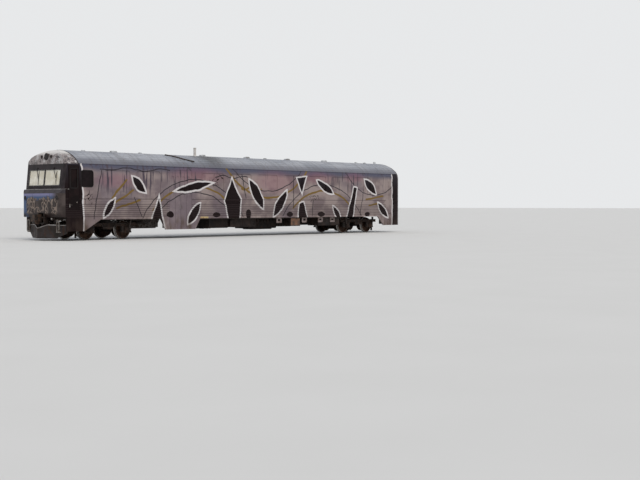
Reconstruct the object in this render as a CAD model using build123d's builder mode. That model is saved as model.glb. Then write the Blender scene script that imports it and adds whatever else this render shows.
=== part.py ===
# Cab car of a two-car diesel multiple unit: its own body, doors, bogies and underfloor gear.
# Millimetres. X runs forward to the cab, Y to the left side, Z up.
# The origin lies under the middle of the car, on the level of the wheel flange tips.

import os
from math import atan2, degrees, radians, sqrt, tan

from build123d import *

os.makedirs("parts", exist_ok=True)

# Heights are measured from the flange tips; the rail head lies one flange depth higher.
FLANGE_DEPTH = 28
SEAT_GAP = 0.3
SWING_GAP = 6

# Car body
FRONT_X = 10770
REAR_X = -10890
COUPLED_LENGTH = 22340
HALF_WIDTH = 1440
WALL = 70
SILL_Z = FLANGE_DEPTH + 830
SKIRT_Z = FLANGE_DEPTH + 360
CANTRAIL_Z = FLANGE_DEPTH + 3100
ROOF_TOP = FLANGE_DEPTH + 3700
SHOULDER_RADIUS = 520
ROOF_RADIUS = 2000
CORNER_RADIUS = 250
CROWN_CORNER_RADIUS = 180
FLOOR_TOP = FLANGE_DEPTH + 1210
FLOOR_THICKNESS = 100
FLOOR_UNDERSIDE = FLOOR_TOP - FLOOR_THICKNESS

# Front end, as setbacks from the front plane and heights
NOSE_FOOT_SETBACK = 70
NOSE_FOOT_Z = FLANGE_DEPTH + 930
NOSE_CHIN_Z = FLANGE_DEPTH + 1090
NOSE_BROW_Z = FLANGE_DEPTH + 1900
LEDGE_SETBACK = 120
LEDGE_Z = FLANGE_DEPTH + 2070
FACE_LEAN = 7
DOME_START_Z = FLANGE_DEPTH + 3400
DOME_X = FRONT_X - 850
POST_DEPTH = 75
COUPLER_HALF_WIDTH = 205
COUPLER_TOP_Z = FLANGE_DEPTH + 1120
COUPLER_BOTTOM_Z = FLANGE_DEPTH + 680
SCREEN_BOTTOM_Z = FLANGE_DEPTH + 2220
SCREEN_TOP_Z = FLANGE_DEPTH + 2860
SCREEN_HALF_WIDTH = 1095
SCREEN_BAR_HALF = 30
GLASS_THICKNESS = 10
GLASS_INSET = 14

# Skirts that hang below the sill, as places along the car
CAB_SKIRT_FRONT_X = FRONT_X - 250
CAB_SKIRT_REAR_X = FRONT_X - 1100
CAB_SKIRT_TOP_X = FRONT_X - 1920
SKIRT_SLANT = 285
END_SKIRT_SLANT = 470

# Entrances: centre along the car, clear half width, leaf sets at the front and rear jambs
ENTRANCE_X = 4550
ENTRANCE_HALF = 650
ENTRANCE_SKIRT_MARGIN = 200
END_ENTRANCE_X = -10170
END_ENTRANCE_HALF = 330
ENTRANCE_BOTTOM = FLANGE_DEPTH + 450
ENTRANCE_TOP = FLANGE_DEPTH + 2960
LEAF_THICKNESS = 40
JAMB_AXIS_DEPTH = LEAF_THICKNESS / 2
JAMB_GAP = 5
FOLD_GAP = 6
MIDDLE_GAP = 8
PIN_RADIUS = 9
PIN_LENGTH = 18
KNUCKLE_HEIGHT = 60
KNUCKLE_HEIGHTS = (700, 1500, 2500)
KNUCKLE_LEAF = 45
STEP_WELL_DEPTH = 420

# Cab doors
CAB_DOOR_REAR_X = FRONT_X - 860
CAB_DOOR_FRONT_X = FRONT_X - 345
CAB_DOOR_BOTTOM = FLOOR_TOP
CAB_DOOR_TOP = FLANGE_DEPTH + 3040
CAB_DOOR_GAP = 9
CAB_HINGE_INSET = 10
CAB_PANE_RECESS = 28
CAB_DOOR_WINDOW_WIDTH = 360
CAB_DOOR_WINDOW_BOTTOM = FLANGE_DEPTH + 2110
CAB_DOOR_WINDOW_TOP = FLANGE_DEPTH + 2900

# Windows: centre along the car and width; heights of the big ones and of the cab one
WINDOW_BOTTOM = FLANGE_DEPTH + 1950
WINDOW_TOP = FLANGE_DEPTH + 2880
WINDOW_WIDTH = 1350
WINDOW_RADIUS = 110
FRONT_WINDOW_X = (6350, 8000)
REAR_WINDOW_FIRST_X = 2640
REAR_WINDOW_PITCH = 1750
REAR_WINDOW_COUNT = 7
CAB_WINDOW_X = FRONT_X - 1250
CAB_WINDOW_WIDTH = 600
CAB_WINDOW_BOTTOM = FLANGE_DEPTH + 2160
CAB_WINDOW_TOP = FLANGE_DEPTH + 2840

# Flutes along the lower side
FLUTE_COUNT = 8
FLUTE_PITCH = 85
FLUTE_BOTTOM = FLANGE_DEPTH + 955
FLUTE_HEIGHT = 34
FLUTE_DEPTH = 8

# Bogies
FRONT_PIVOT_X = 8200
REAR_PIVOT_X = -8000
WHEELBASE = 1900
TREAD_RADIUS = 385
AXLE_Z = TREAD_RADIUS + FLANGE_DEPTH
FLANGE_RADIUS = TREAD_RADIUS + FLANGE_DEPTH
BACK_TO_BACK = 1360
WHEEL_WIDTH = 135
FLANGE_WIDTH = 33
RIM_DEPTH = 70
HUB_RADIUS = 140
WEB_THICKNESS = 28
HUB_OVERHANG = 30
TREAD_TAPER = 6
FLANGE_FILLET = 8
FLANGE_TIP = 12
AXLE_RADIUS = 85
JOURNAL_RADIUS = 65
JOURNAL_END = 1090
BEAM_Y = 1000
BEAM_WIDTH = 120
BEAM_BOTTOM = 570
BEAM_TOP = 710
BEAM_HALF_LENGTH = 1420
TRANSOM_HALF = 210
BOLSTER_BOTTOM = 940
PIVOT_RADIUS = 70
AIR_SPRING_RADIUS = 250
AIR_SPRING_Y = 800

axle_names = ("wheelset_1", "wheelset_2", "wheelset_3", "wheelset_4")
axle_places = (
    FRONT_PIVOT_X + WHEELBASE / 2,
    FRONT_PIVOT_X - WHEELBASE / 2,
    REAR_PIVOT_X + WHEELBASE / 2,
    REAR_PIVOT_X - WHEELBASE / 2,
)
sides = (("left", 1), ("right", -1))

# Places worked out from the driving sizes
ledge_x = FRONT_X - LEDGE_SETBACK
post_x = ledge_x - POST_DEPTH
lean = tan(radians(FACE_LEAN))
dome_start_x = ledge_x - lean * (DOME_START_Z - LEDGE_Z)
coupler_face_x = COUPLED_LENGTH / 2
inner_half = HALF_WIDTH - WALL
entrance_front_jamb = ENTRANCE_X + ENTRANCE_HALF
entrance_rear_jamb = ENTRANCE_X - ENTRANCE_HALF
end_front_jamb = END_ENTRANCE_X + END_ENTRANCE_HALF
end_rear_jamb = END_ENTRANCE_X - END_ENTRANCE_HALF
skirt_front_x = entrance_front_jamb + ENTRANCE_SKIRT_MARGIN
skirt_rear_x = entrance_rear_jamb - ENTRANCE_SKIRT_MARGIN
end_skirt_x = end_front_jamb + ENTRANCE_SKIRT_MARGIN


def face_x(height, inset=0):
    """Where the leaning front face stands at a height, less an inset."""
    return ledge_x - lean * (height - LEDGE_Z) - inset


def box_between(x_low, x_high, y_low, y_high, z_low, z_high, mode=Mode.ADD):
    """A box between two corners, joined to or cut from the part in hand."""
    with Locations(((x_low + x_high) / 2, (y_low + y_high) / 2, (z_low + z_high) / 2)):
        Box(x_high - x_low, y_high - y_low, z_high - z_low, mode=mode)


def side_box(side, x_low, x_high, inner, outer, z_low, z_high, mode=Mode.ADD):
    """A box on one side of the car, from its distances to the middle plane."""
    y_low, y_high = sorted((side * inner, side * outer))
    box_between(x_low, x_high, y_low, y_high, z_low, z_high, mode)


def write(node, name):
    """Label a finished piece and store it under its own name."""
    node.part.label = name
    export_step(node.part, f"parts/{name}.step")


def tube_solid(shrink, x_start, x_end, bottom):
    """The car's cross-section, smaller by a wall where asked, run along the car."""
    half = HALF_WIDTH - shrink
    shoulder = SHOULDER_RADIUS - shrink
    roof = ROOF_RADIUS - shrink
    centre_y = half - shoulder
    roof_centre_z = ROOF_TOP - ROOF_RADIUS
    shoulder_z = roof_centre_z + sqrt((roof - shoulder) ** 2 - centre_y**2)
    turn = degrees(atan2(shoulder_z - roof_centre_z, centre_y))
    with BuildPart() as tube:
        with BuildSketch(Plane.YZ.offset(x_start)):
            with BuildLine():
                foot = Line((0, bottom), (half, bottom))
                Line(foot @ 1, (half, shoulder_z))
                CenterArc((centre_y, shoulder_z), shoulder, 0, turn)
                CenterArc((0, roof_centre_z), roof, turn, 90 - turn)
                mirror(about=Plane.YZ)
            make_face()
        extrude(amount=x_end - x_start)
    return tube.part


def front_form(shrink):
    """Everything behind the front end's surface: nose, leaning face, dome and rounded corners."""
    half = HALF_WIDTH - shrink
    corner = CORNER_RADIUS - shrink
    back_x = REAR_X - 2 * CORNER_RADIUS
    low_z = 0
    high_z = ROOF_TOP + WALL
    dome_top = ROOF_TOP - shrink
    run = dome_start_x - shrink - DOME_X
    drop = dome_top - DOME_START_Z
    dome_radius = (run**2 + drop**2) / (2 * drop)
    swing = degrees(atan2(dome_radius - drop, run))
    with BuildPart() as lower:
        with BuildSketch(Plane.XY.offset(low_z)):
            with Locations(((back_x + FRONT_X - shrink) / 2, 0)):
                RectangleRounded(FRONT_X - shrink - back_x, 2 * half, corner)
        extrude(amount=LEDGE_Z - low_z)
    with BuildPart() as upper:
        for height, radius in ((LEDGE_Z, corner), (high_z, CROWN_CORNER_RADIUS - shrink)):
            with BuildSketch(Plane.XY.offset(height)):
                tip = face_x(height, shrink)
                with Locations(((back_x + tip) / 2, 0)):
                    RectangleRounded(tip - back_x, 2 * half, radius)
        loft(ruled=True)
    with BuildPart() as form:
        add(lower.part)
        add(upper.part)
        with BuildSketch(Plane.XZ):
            with BuildLine():
                chin = Polyline(
                    (back_x, low_z),
                    (FRONT_X - NOSE_FOOT_SETBACK - shrink, low_z),
                    (FRONT_X - NOSE_FOOT_SETBACK - shrink, NOSE_FOOT_Z),
                    (FRONT_X - shrink, NOSE_CHIN_Z),
                    (FRONT_X - shrink, NOSE_BROW_Z),
                    (ledge_x - shrink, LEDGE_Z),
                    (dome_start_x - shrink, DOME_START_Z),
                )
                CenterArc((DOME_X, dome_top - dome_radius), dome_radius, swing, 90 - swing)
                Polyline((DOME_X, dome_top), (DOME_X, high_z), (back_x, high_z), chin @ 0)
            make_face()
        extrude(amount=HALF_WIDTH + WALL, both=True, mode=Mode.INTERSECT)
    return form.part


# Outline of the body seen from the side, with the skirts that hang at the cab and the entrances
with BuildPart() as skirt_outline:
    with BuildSketch(Plane.XZ):
        with BuildLine():
            Polyline(
                (REAR_X, ROOF_TOP + WALL),
                (REAR_X, SKIRT_Z),
                (end_skirt_x, SKIRT_Z),
                (end_skirt_x + END_SKIRT_SLANT, SILL_Z),
                (skirt_rear_x - SKIRT_SLANT, SILL_Z),
                (skirt_rear_x, SKIRT_Z),
                (skirt_front_x, SKIRT_Z),
                (skirt_front_x + SKIRT_SLANT, SILL_Z),
                (CAB_SKIRT_TOP_X, SILL_Z),
                (CAB_SKIRT_REAR_X, SKIRT_Z),
                (CAB_SKIRT_FRONT_X, SKIRT_Z),
                (CAB_SKIRT_FRONT_X, NOSE_FOOT_Z),
                (FRONT_X, NOSE_FOOT_Z),
                (FRONT_X, ROOF_TOP + WALL),
                close=True,
            )
        make_face()
    extrude(amount=HALF_WIDTH + WALL, both=True)

# The whole outer form and the hollow inside it
outer_tube = tube_solid(0, REAR_X, FRONT_X + WALL, -WALL)
outer_front = front_form(0)
inner_tube = tube_solid(WALL, REAR_X - WALL, FRONT_X + WALL, -WALL)
inner_front = front_form(WALL)
with BuildPart() as outer_form:
    add(outer_tube)
    add(outer_front, mode=Mode.INTERSECT)
with BuildPart() as inner_form:
    add(inner_tube)
    add(inner_front, mode=Mode.INTERSECT)
with BuildPart() as body_shell:
    add(outer_form.part)
    add(skirt_outline.part, mode=Mode.INTERSECT)
    add(inner_form.part, mode=Mode.SUBTRACT)


# Roof panel, from the dome seam to the inner end
with BuildPart() as roof_panel:
    add(body_shell.part)
    box_between(
        REAR_X + WALL, DOME_X, -HALF_WIDTH, HALF_WIDTH, CANTRAIL_Z, ROOF_TOP + WALL, Mode.INTERSECT
    )
write(roof_panel, "roof_panel")

# Moulded cap over the windscreen
TOP_LAMP_Z = FLANGE_DEPTH + 3400
TOP_LAMP_RADIUS = 140
MARKER_RADIUS = 60
MARKER_Y = 335
HEADLIGHT_Y = 1130
HEADLIGHT_Z = FLANGE_DEPTH + 1720
HEADLIGHT_RADIUS = 95
LAMP_DEPTH = 90
with BuildPart() as cab_dome:
    add(body_shell.part)
    box_between(
        DOME_X, FRONT_X, -HALF_WIDTH, HALF_WIDTH, CANTRAIL_Z, ROOF_TOP + WALL, Mode.INTERSECT
    )
    for lamp_y, lamp_radius in ((0, TOP_LAMP_RADIUS), (MARKER_Y, MARKER_RADIUS), (-MARKER_Y, MARKER_RADIUS)):
        with Locations(Location((FRONT_X, lamp_y, TOP_LAMP_Z), (0, -90, 0))):
            Cylinder(
                lamp_radius,
                FRONT_X - dome_start_x + LAMP_DEPTH,
                align=(Align.CENTER, Align.CENTER, Align.MIN),
                mode=Mode.SUBTRACT,
            )
write(cab_dome, "cab_dome")

# Everything ahead of the line that leans with the windscreen, from the ledge to the dome
with BuildPart() as post_region:
    with BuildSketch(Plane.XZ):
        with BuildLine():
            Polyline(
                (post_x, LEDGE_Z),
                (FRONT_X, LEDGE_Z),
                (FRONT_X, CANTRAIL_Z),
                (face_x(CANTRAIL_Z, POST_DEPTH), CANTRAIL_Z),
                close=True,
            )
        make_face()
    extrude(amount=HALF_WIDTH, both=True)

# Frame round the two windscreen panes, with the corner posts
with BuildPart() as windscreen_frame:
    add(body_shell.part)
    add(post_region.part, mode=Mode.INTERSECT)
    for side_name, side in sides:
        side_box(
            side,
            post_x - 2 * WALL,
            FRONT_X,
            SCREEN_BAR_HALF,
            SCREEN_HALF_WIDTH,
            SCREEN_BOTTOM_Z,
            SCREEN_TOP_Z,
            Mode.SUBTRACT,
        )
write(windscreen_frame, "windscreen_frame")

# The two flat panes, set back from the frame's face
with BuildPart() as windscreen:
    with BuildSketch(Plane.XZ):
        with BuildLine():
            Polyline(
                (face_x(SCREEN_BOTTOM_Z, GLASS_INSET + GLASS_THICKNESS), SCREEN_BOTTOM_Z),
                (face_x(SCREEN_BOTTOM_Z, GLASS_INSET), SCREEN_BOTTOM_Z),
                (face_x(SCREEN_TOP_Z, GLASS_INSET), SCREEN_TOP_Z),
                (face_x(SCREEN_TOP_Z, GLASS_INSET + GLASS_THICKNESS), SCREEN_TOP_Z),
                close=True,
            )
        make_face()
    extrude(amount=SCREEN_HALF_WIDTH, both=True)
    box_between(
        post_x - 2 * WALL,
        FRONT_X,
        -SCREEN_BAR_HALF,
        SCREEN_BAR_HALF,
        SCREEN_BOTTOM_Z,
        SCREEN_TOP_Z,
        Mode.SUBTRACT,
    )
write(windscreen, "windscreen")

# Nose panel below the windscreen, open where the coupler comes through
with BuildPart() as cab_nose:
    add(body_shell.part)
    box_between(post_x, FRONT_X, -HALF_WIDTH, HALF_WIDTH, SKIRT_Z, LEDGE_Z, Mode.INTERSECT)
    box_between(
        post_x - WALL,
        FRONT_X,
        -COUPLER_HALF_WIDTH,
        COUPLER_HALF_WIDTH,
        SKIRT_Z,
        COUPLER_TOP_Z,
        Mode.SUBTRACT,
    )
    for side_name, side in sides:
        with Locations(Location((FRONT_X, side * HEADLIGHT_Y, HEADLIGHT_Z), (0, -90, 0))):
            Cylinder(
                HEADLIGHT_RADIUS,
                LAMP_DEPTH,
                align=(Align.CENTER, Align.CENTER, Align.MIN),
                mode=Mode.SUBTRACT,
            )
write(cab_nose, "cab_nose")

# Lamps: one large top lamp, two markers beside it and the two round headlights
with BuildPart() as lamps:
    for lamp_y, lamp_radius in ((0, TOP_LAMP_RADIUS), (MARKER_Y, MARKER_RADIUS), (-MARKER_Y, MARKER_RADIUS)):
        with Locations(Location((dome_start_x + 2, lamp_y, TOP_LAMP_Z), (0, -90, 0))):
            Cylinder(lamp_radius, LAMP_DEPTH + 2, align=(Align.CENTER, Align.CENTER, Align.MIN))
    for side_name, side in sides:
        with Locations(Location((FRONT_X, side * HEADLIGHT_Y, HEADLIGHT_Z), (0, -90, 0))):
            Cylinder(HEADLIGHT_RADIUS, LAMP_DEPTH, align=(Align.CENTER, Align.CENTER, Align.MIN))
write(lamps, "lamps")

# Side walls. The front one runs from the cab post to the rear jamb of the main entrance,
# the rear one from there to the inner end. Flutes stop short of the doorways.
CORE_HALF = 1000
FLUTE_STOP = 90
FLUTE_CAB_STOP = 250
FLUTE_JAMB_STOP = 110
side_parts = (
    ("side_front", entrance_rear_jamb, post_x),
    ("side_rear", REAR_X + WALL, entrance_rear_jamb),
)
flute_runs = {
    "side_front": ((skirt_front_x - FLUTE_STOP, CAB_DOOR_REAR_X - FLUTE_CAB_STOP),),
    "side_rear": ((end_skirt_x - FLUTE_STOP, entrance_rear_jamb - FLUTE_JAMB_STOP),),
}
doorways = {
    "side_front": ((entrance_rear_jamb, entrance_front_jamb), (ENTRANCE_BOTTOM, ENTRANCE_TOP)),
    "side_rear": ((end_rear_jamb, end_front_jamb), (ENTRANCE_BOTTOM, ENTRANCE_TOP)),
}
window_centres = {
    "side_front": FRONT_WINDOW_X,
    "side_rear": tuple(REAR_WINDOW_FIRST_X - REAR_WINDOW_PITCH * n for n in range(REAR_WINDOW_COUNT)),
}
window_mid_z = (WINDOW_BOTTOM + WINDOW_TOP) / 2
cab_window_mid_z = (CAB_WINDOW_BOTTOM + CAB_WINDOW_TOP) / 2
cab_hinge_x = CAB_DOOR_REAR_X + CAB_DOOR_GAP + CAB_HINGE_INSET
cab_hinge_y = inner_half + CAB_HINGE_INSET
cab_door_mid_x = (CAB_DOOR_REAR_X + CAB_DOOR_FRONT_X) / 2


def jamb_pins(name):
    """The upright axes of the leaves in one side part: places along the car."""
    inset = JAMB_GAP + JAMB_AXIS_DEPTH
    if name == "side_front":
        return (entrance_front_jamb - inset, entrance_rear_jamb + inset)
    return (end_front_jamb - inset,)


for side_name, side in sides:
    for part_name, x_low, x_high in side_parts:
        with BuildPart() as side_wall:
            add(body_shell.part)
            side_box(side, x_low, x_high, CORE_HALF, HALF_WIDTH, SKIRT_Z, CANTRAIL_Z, Mode.INTERSECT)
            add(post_region.part, mode=Mode.SUBTRACT)
            for run_low, run_high in flute_runs[part_name]:
                for row in range(FLUTE_COUNT):
                    flute_z = FLUTE_BOTTOM + row * FLUTE_PITCH
                    side_box(
                        side,
                        run_low,
                        run_high,
                        HALF_WIDTH - FLUTE_DEPTH,
                        HALF_WIDTH,
                        flute_z,
                        flute_z + FLUTE_HEIGHT,
                        Mode.SUBTRACT,
                    )
            (door_low, door_high), (door_foot, door_head) = doorways[part_name]
            side_box(
                side, door_low, door_high, 0, HALF_WIDTH + WALL, door_foot, door_head, Mode.SUBTRACT
            )
            for window_x in window_centres[part_name]:
                with BuildSketch(Plane.XZ):
                    with Locations((window_x, window_mid_z)):
                        RectangleRounded(WINDOW_WIDTH, WINDOW_TOP - WINDOW_BOTTOM, WINDOW_RADIUS)
                extrude(amount=HALF_WIDTH + WALL, both=True, mode=Mode.SUBTRACT)
            if part_name == "side_front":
                side_box(
                    side,
                    CAB_DOOR_REAR_X,
                    CAB_DOOR_FRONT_X,
                    0,
                    HALF_WIDTH + WALL,
                    CAB_DOOR_BOTTOM,
                    CAB_DOOR_TOP,
                    Mode.SUBTRACT,
                )
                with BuildSketch(Plane.XZ):
                    with Locations((CAB_WINDOW_X, cab_window_mid_z)):
                        RectangleRounded(
                            CAB_WINDOW_WIDTH, CAB_WINDOW_TOP - CAB_WINDOW_BOTTOM, WINDOW_RADIUS
                        )
                extrude(amount=HALF_WIDTH + WALL, both=True, mode=Mode.SUBTRACT)
                for pin_z in (CAB_DOOR_BOTTOM, CAB_DOOR_TOP):
                    with Locations((cab_hinge_x, side * cab_hinge_y, pin_z)):
                        Cylinder(PIN_RADIUS + SEAT_GAP, 2 * PIN_LENGTH + 2, mode=Mode.SUBTRACT)
            for pin_x in jamb_pins(part_name):
                for pin_z in (door_foot, door_head):
                    with Locations((pin_x, side * (HALF_WIDTH - JAMB_AXIS_DEPTH), pin_z)):
                        Cylinder(PIN_RADIUS + SEAT_GAP, 2 * PIN_LENGTH + 2, mode=Mode.SUBTRACT)
        write(side_wall, f"{part_name}_{side_name}")

# Fixed panes of both sides, all alike but for the small one behind the cab door
big_pane = (WINDOW_WIDTH, WINDOW_TOP - WINDOW_BOTTOM)
cab_pane = (CAB_WINDOW_WIDTH, CAB_WINDOW_TOP - CAB_WINDOW_BOTTOM)
panes = [(x, window_mid_z, big_pane) for x in window_centres["side_front"] + window_centres["side_rear"]]
panes.append((CAB_WINDOW_X, cab_window_mid_z, cab_pane))
with BuildPart() as side_glass:
    for side_name, side in sides:
        for pane_x, pane_z, (pane_width, pane_height) in panes:
            with BuildSketch(Plane.XZ.offset(-side * (HALF_WIDTH - GLASS_INSET))):
                with Locations((pane_x, pane_z)):
                    RectangleRounded(pane_width, pane_height, WINDOW_RADIUS)
            extrude(amount=side * GLASS_THICKNESS)
write(side_glass, "side_glass")

# Folding leaves. Each set has a jamb leaf on pins and a free leaf on knuckles behind it.
# Columns: set name, jamb along the car, way to the doorway's middle, half width of the doorway
leaf_sets = (
    ("front", entrance_front_jamb, -1, ENTRANCE_HALF),
    ("rear", entrance_rear_jamb, 1, ENTRANCE_HALF),
    ("end", end_front_jamb, -1, 2 * END_ENTRANCE_HALF),
)
leaf_bottom = ENTRANCE_BOTTOM + SWING_GAP
leaf_top = ENTRANCE_TOP - SWING_GAP
fold_depth = LEAF_THICKNESS + FOLD_GAP
LEAF_WINDOW_BOTTOM = FLANGE_DEPTH + 1750
LEAF_WINDOW_TOP = FLANGE_DEPTH + 2700
LEAF_WINDOW_MARGIN = 70
PANE_RECESS = 12
leaf_window_mid_z = (LEAF_WINDOW_BOTTOM + LEAF_WINDOW_TOP) / 2


def leaf_axes(jamb_x, way, half):
    """Jamb axis, fold axis and free edge of a leaf set, along the car."""
    jamb_axis = jamb_x + way * (JAMB_GAP + JAMB_AXIS_DEPTH)
    free_edge = jamb_x + way * (half - MIDDLE_GAP)
    return jamb_axis, (jamb_axis + free_edge) / 2, free_edge


# What lies outside the curved shoulders, cut off the tall doors
cab_door_foot = CAB_DOOR_BOTTOM + SWING_GAP
cab_door_head = CAB_DOOR_TOP - SWING_GAP
with BuildPart() as shoulder_trim:
    box_between(
        REAR_X, FRONT_X, -HALF_WIDTH - WALL, HALF_WIDTH + WALL, ENTRANCE_TOP - 2 * WALL, CAB_DOOR_TOP
    )
    add(outer_tube, mode=Mode.SUBTRACT)

for side_name, side in sides:
    outer_y = side * HALF_WIDTH
    inner_y = side * (HALF_WIDTH - LEAF_THICKNESS)
    jamb_y = side * (HALF_WIDTH - JAMB_AXIS_DEPTH)
    fold_y = side * (HALF_WIDTH - fold_depth)
    for set_name, jamb_x, way, half in leaf_sets:
        jamb_axis, fold_axis, free_edge = leaf_axes(jamb_x, way, half)
        with BuildPart() as jamb_leaf:
            with BuildSketch(Plane.XY.offset(leaf_bottom)):
                with BuildLine():
                    far = fold_axis - way * FOLD_GAP
                    Polyline((jamb_axis, outer_y), (far, outer_y), (far, inner_y), (jamb_axis, inner_y))
                    ThreePointArc(
                        (jamb_axis, inner_y),
                        (jamb_axis - way * JAMB_AXIS_DEPTH, jamb_y),
                        (jamb_axis, outer_y),
                    )
                make_face()
            extrude(amount=leaf_top - leaf_bottom)
            add(shoulder_trim.part, mode=Mode.SUBTRACT)
            for pin_foot in (leaf_bottom - PIN_LENGTH, leaf_top):
                with Locations((jamb_axis, jamb_y, pin_foot)):
                    Cylinder(PIN_RADIUS, PIN_LENGTH, align=(Align.CENTER, Align.CENTER, Align.MIN))
            for knuckle_z in KNUCKLE_HEIGHTS:
                with Locations((fold_axis, fold_y, knuckle_z)):
                    Cylinder(FOLD_GAP, KNUCKLE_HEIGHT)
                low, high = sorted((fold_axis, fold_axis - way * KNUCKLE_LEAF))
                box_between(
                    low,
                    high,
                    min(fold_y, inner_y),
                    max(fold_y, inner_y),
                    knuckle_z - KNUCKLE_HEIGHT / 2,
                    knuckle_z + KNUCKLE_HEIGHT / 2,
                )
            for face_y, way_in in ((outer_y, side), (inner_y, -side)):
                with BuildSketch(Plane.XZ.offset(-face_y)):
                    with Locations(((jamb_axis + fold_axis) / 2, leaf_window_mid_z)):
                        RectangleRounded(
                            abs(fold_axis - jamb_axis) - 2 * LEAF_WINDOW_MARGIN,
                            LEAF_WINDOW_TOP - LEAF_WINDOW_BOTTOM,
                            WINDOW_RADIUS / 2,
                        )
                extrude(amount=way_in * PANE_RECESS, mode=Mode.SUBTRACT)
        write(jamb_leaf, f"door_{set_name}_leaf_{side_name}")

        with BuildPart() as free_leaf:
            near, far = sorted((free_edge, fold_axis + way * FOLD_GAP))
            box_between(near, far, min(inner_y, outer_y), max(inner_y, outer_y), leaf_bottom, leaf_top)
            add(shoulder_trim.part, mode=Mode.SUBTRACT)
            for knuckle_z in KNUCKLE_HEIGHTS:
                lower_z = knuckle_z - KNUCKLE_HEIGHT - SEAT_GAP
                with Locations((fold_axis, fold_y, lower_z)):
                    Cylinder(FOLD_GAP, KNUCKLE_HEIGHT)
                low, high = sorted((fold_axis, fold_axis + way * KNUCKLE_LEAF))
                box_between(
                    low,
                    high,
                    min(fold_y, inner_y),
                    max(fold_y, inner_y),
                    lower_z - KNUCKLE_HEIGHT / 2,
                    lower_z + KNUCKLE_HEIGHT / 2,
                )
            for face_y, way_in in ((outer_y, side), (inner_y, -side)):
                with BuildSketch(Plane.XZ.offset(-face_y)):
                    with Locations(((free_edge + fold_axis) / 2, leaf_window_mid_z)):
                        RectangleRounded(
                            abs(fold_axis - free_edge) - 2 * LEAF_WINDOW_MARGIN,
                            LEAF_WINDOW_TOP - LEAF_WINDOW_BOTTOM,
                            WINDOW_RADIUS / 2,
                        )
                extrude(amount=way_in * PANE_RECESS, mode=Mode.SUBTRACT)
        write(free_leaf, f"door_{set_name}_free_leaf_{side_name}")

    # Cab door, hung at its rear edge and opening inwards
    with BuildPart() as cab_door:
        with BuildSketch(Plane.XY.offset(cab_door_foot)):
            with BuildLine():
                corner_x = cab_hinge_x - CAB_HINGE_INSET
                corner_y = side * (cab_hinge_y - CAB_HINGE_INSET)
                rounded = Line((cab_hinge_x, corner_y), (CAB_DOOR_FRONT_X - CAB_DOOR_GAP, corner_y))
                Polyline(
                    rounded @ 1,
                    (CAB_DOOR_FRONT_X - CAB_DOOR_GAP, outer_y),
                    (corner_x, outer_y),
                    (corner_x, side * cab_hinge_y),
                )
                RadiusArc((corner_x, side * cab_hinge_y), rounded @ 0, side * CAB_HINGE_INSET)
            make_face()
        extrude(amount=cab_door_head - cab_door_foot)
        add(shoulder_trim.part, mode=Mode.SUBTRACT)
        for pin_foot in (cab_door_foot - PIN_LENGTH, cab_door_head):
            with Locations((cab_hinge_x, side * cab_hinge_y, pin_foot)):
                Cylinder(PIN_RADIUS, PIN_LENGTH, align=(Align.CENTER, Align.CENTER, Align.MIN))
        for face_y, way_in in ((outer_y, side), (side * inner_half, -side)):
            with BuildSketch(Plane.XZ.offset(-face_y)):
                with Locations((cab_door_mid_x, (CAB_DOOR_WINDOW_BOTTOM + CAB_DOOR_WINDOW_TOP) / 2)):
                    RectangleRounded(
                        CAB_DOOR_WINDOW_WIDTH,
                        CAB_DOOR_WINDOW_TOP - CAB_DOOR_WINDOW_BOTTOM,
                        WINDOW_RADIUS / 2,
                    )
            extrude(amount=way_in * CAB_PANE_RECESS, mode=Mode.SUBTRACT)
    write(cab_door, f"cab_door_{side_name}")

# Floor in five boards that lie end to end, the two at the doorways narrower for the step wells
well_inner = inner_half - STEP_WELL_DEPTH
full_runs = (
    (REAR_X + WALL, end_rear_jamb),
    (end_front_jamb, entrance_rear_jamb),
    (entrance_front_jamb, CAB_SKIRT_FRONT_X),
)
well_runs = ((end_rear_jamb, end_front_jamb), (entrance_rear_jamb, entrance_front_jamb))
with BuildPart() as floor:
    for x_low, x_high in full_runs:
        box_between(x_low, x_high, -inner_half, inner_half, FLOOR_UNDERSIDE, FLOOR_TOP)
    for x_low, x_high in well_runs:
        box_between(
            x_low + SEAT_GAP,
            x_high - SEAT_GAP,
            -well_inner,
            well_inner,
            FLOOR_UNDERSIDE,
            FLOOR_TOP,
        )
write(floor, "floor")

# Underframe: side sills, broken at the step wells
SIDE_SILL_WIDTH = 80
sill_inner = inner_half - SIDE_SILL_WIDTH
with BuildPart() as side_sills:
    for side_name, side in sides:
        for x_low, x_high in full_runs:
            side_box(side, x_low, x_high, sill_inner, inner_half, SILL_Z, FLOOR_UNDERSIDE)
write(side_sills, "side_sills")

# Cross members between the side sills, the two headstocks and the bolsters with their pivots
CROSS_MEMBER_X = (
    9700, 6600, 5300, 3800, 2350, 1750, 1100, -150, -700, -2200, -2700, -3300, -4800, -5800, -9700
)
CROSS_MEMBER_HALF = 60
BOLSTER_HALF = 360
PIVOT_LENGTH = 360
HEADSTOCK_DEPTH = 160
COUPLER_SLOT_X = 9900
COUPLER_PIVOT_X = 10120
CARRIER_BEAM_HALF = 110
coupler_slot_top = FLOOR_UNDERSIDE - 60
member_runs = [
    (member_x - CROSS_MEMBER_HALF, member_x + CROSS_MEMBER_HALF, BOLSTER_BOTTOM)
    for member_x in CROSS_MEMBER_X
]
member_runs += [
    (pivot_x - BOLSTER_HALF, pivot_x + BOLSTER_HALF, BOLSTER_BOTTOM)
    for pivot_x in (FRONT_PIVOT_X, REAR_PIVOT_X)
]
member_runs += [
    (COUPLER_PIVOT_X - CARRIER_BEAM_HALF, COUPLER_PIVOT_X + CARRIER_BEAM_HALF, coupler_slot_top),
    (REAR_X + WALL, REAR_X + WALL + HEADSTOCK_DEPTH, SILL_Z),
    (CAB_SKIRT_FRONT_X - HEADSTOCK_DEPTH, CAB_SKIRT_FRONT_X, SILL_Z),
]
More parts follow.
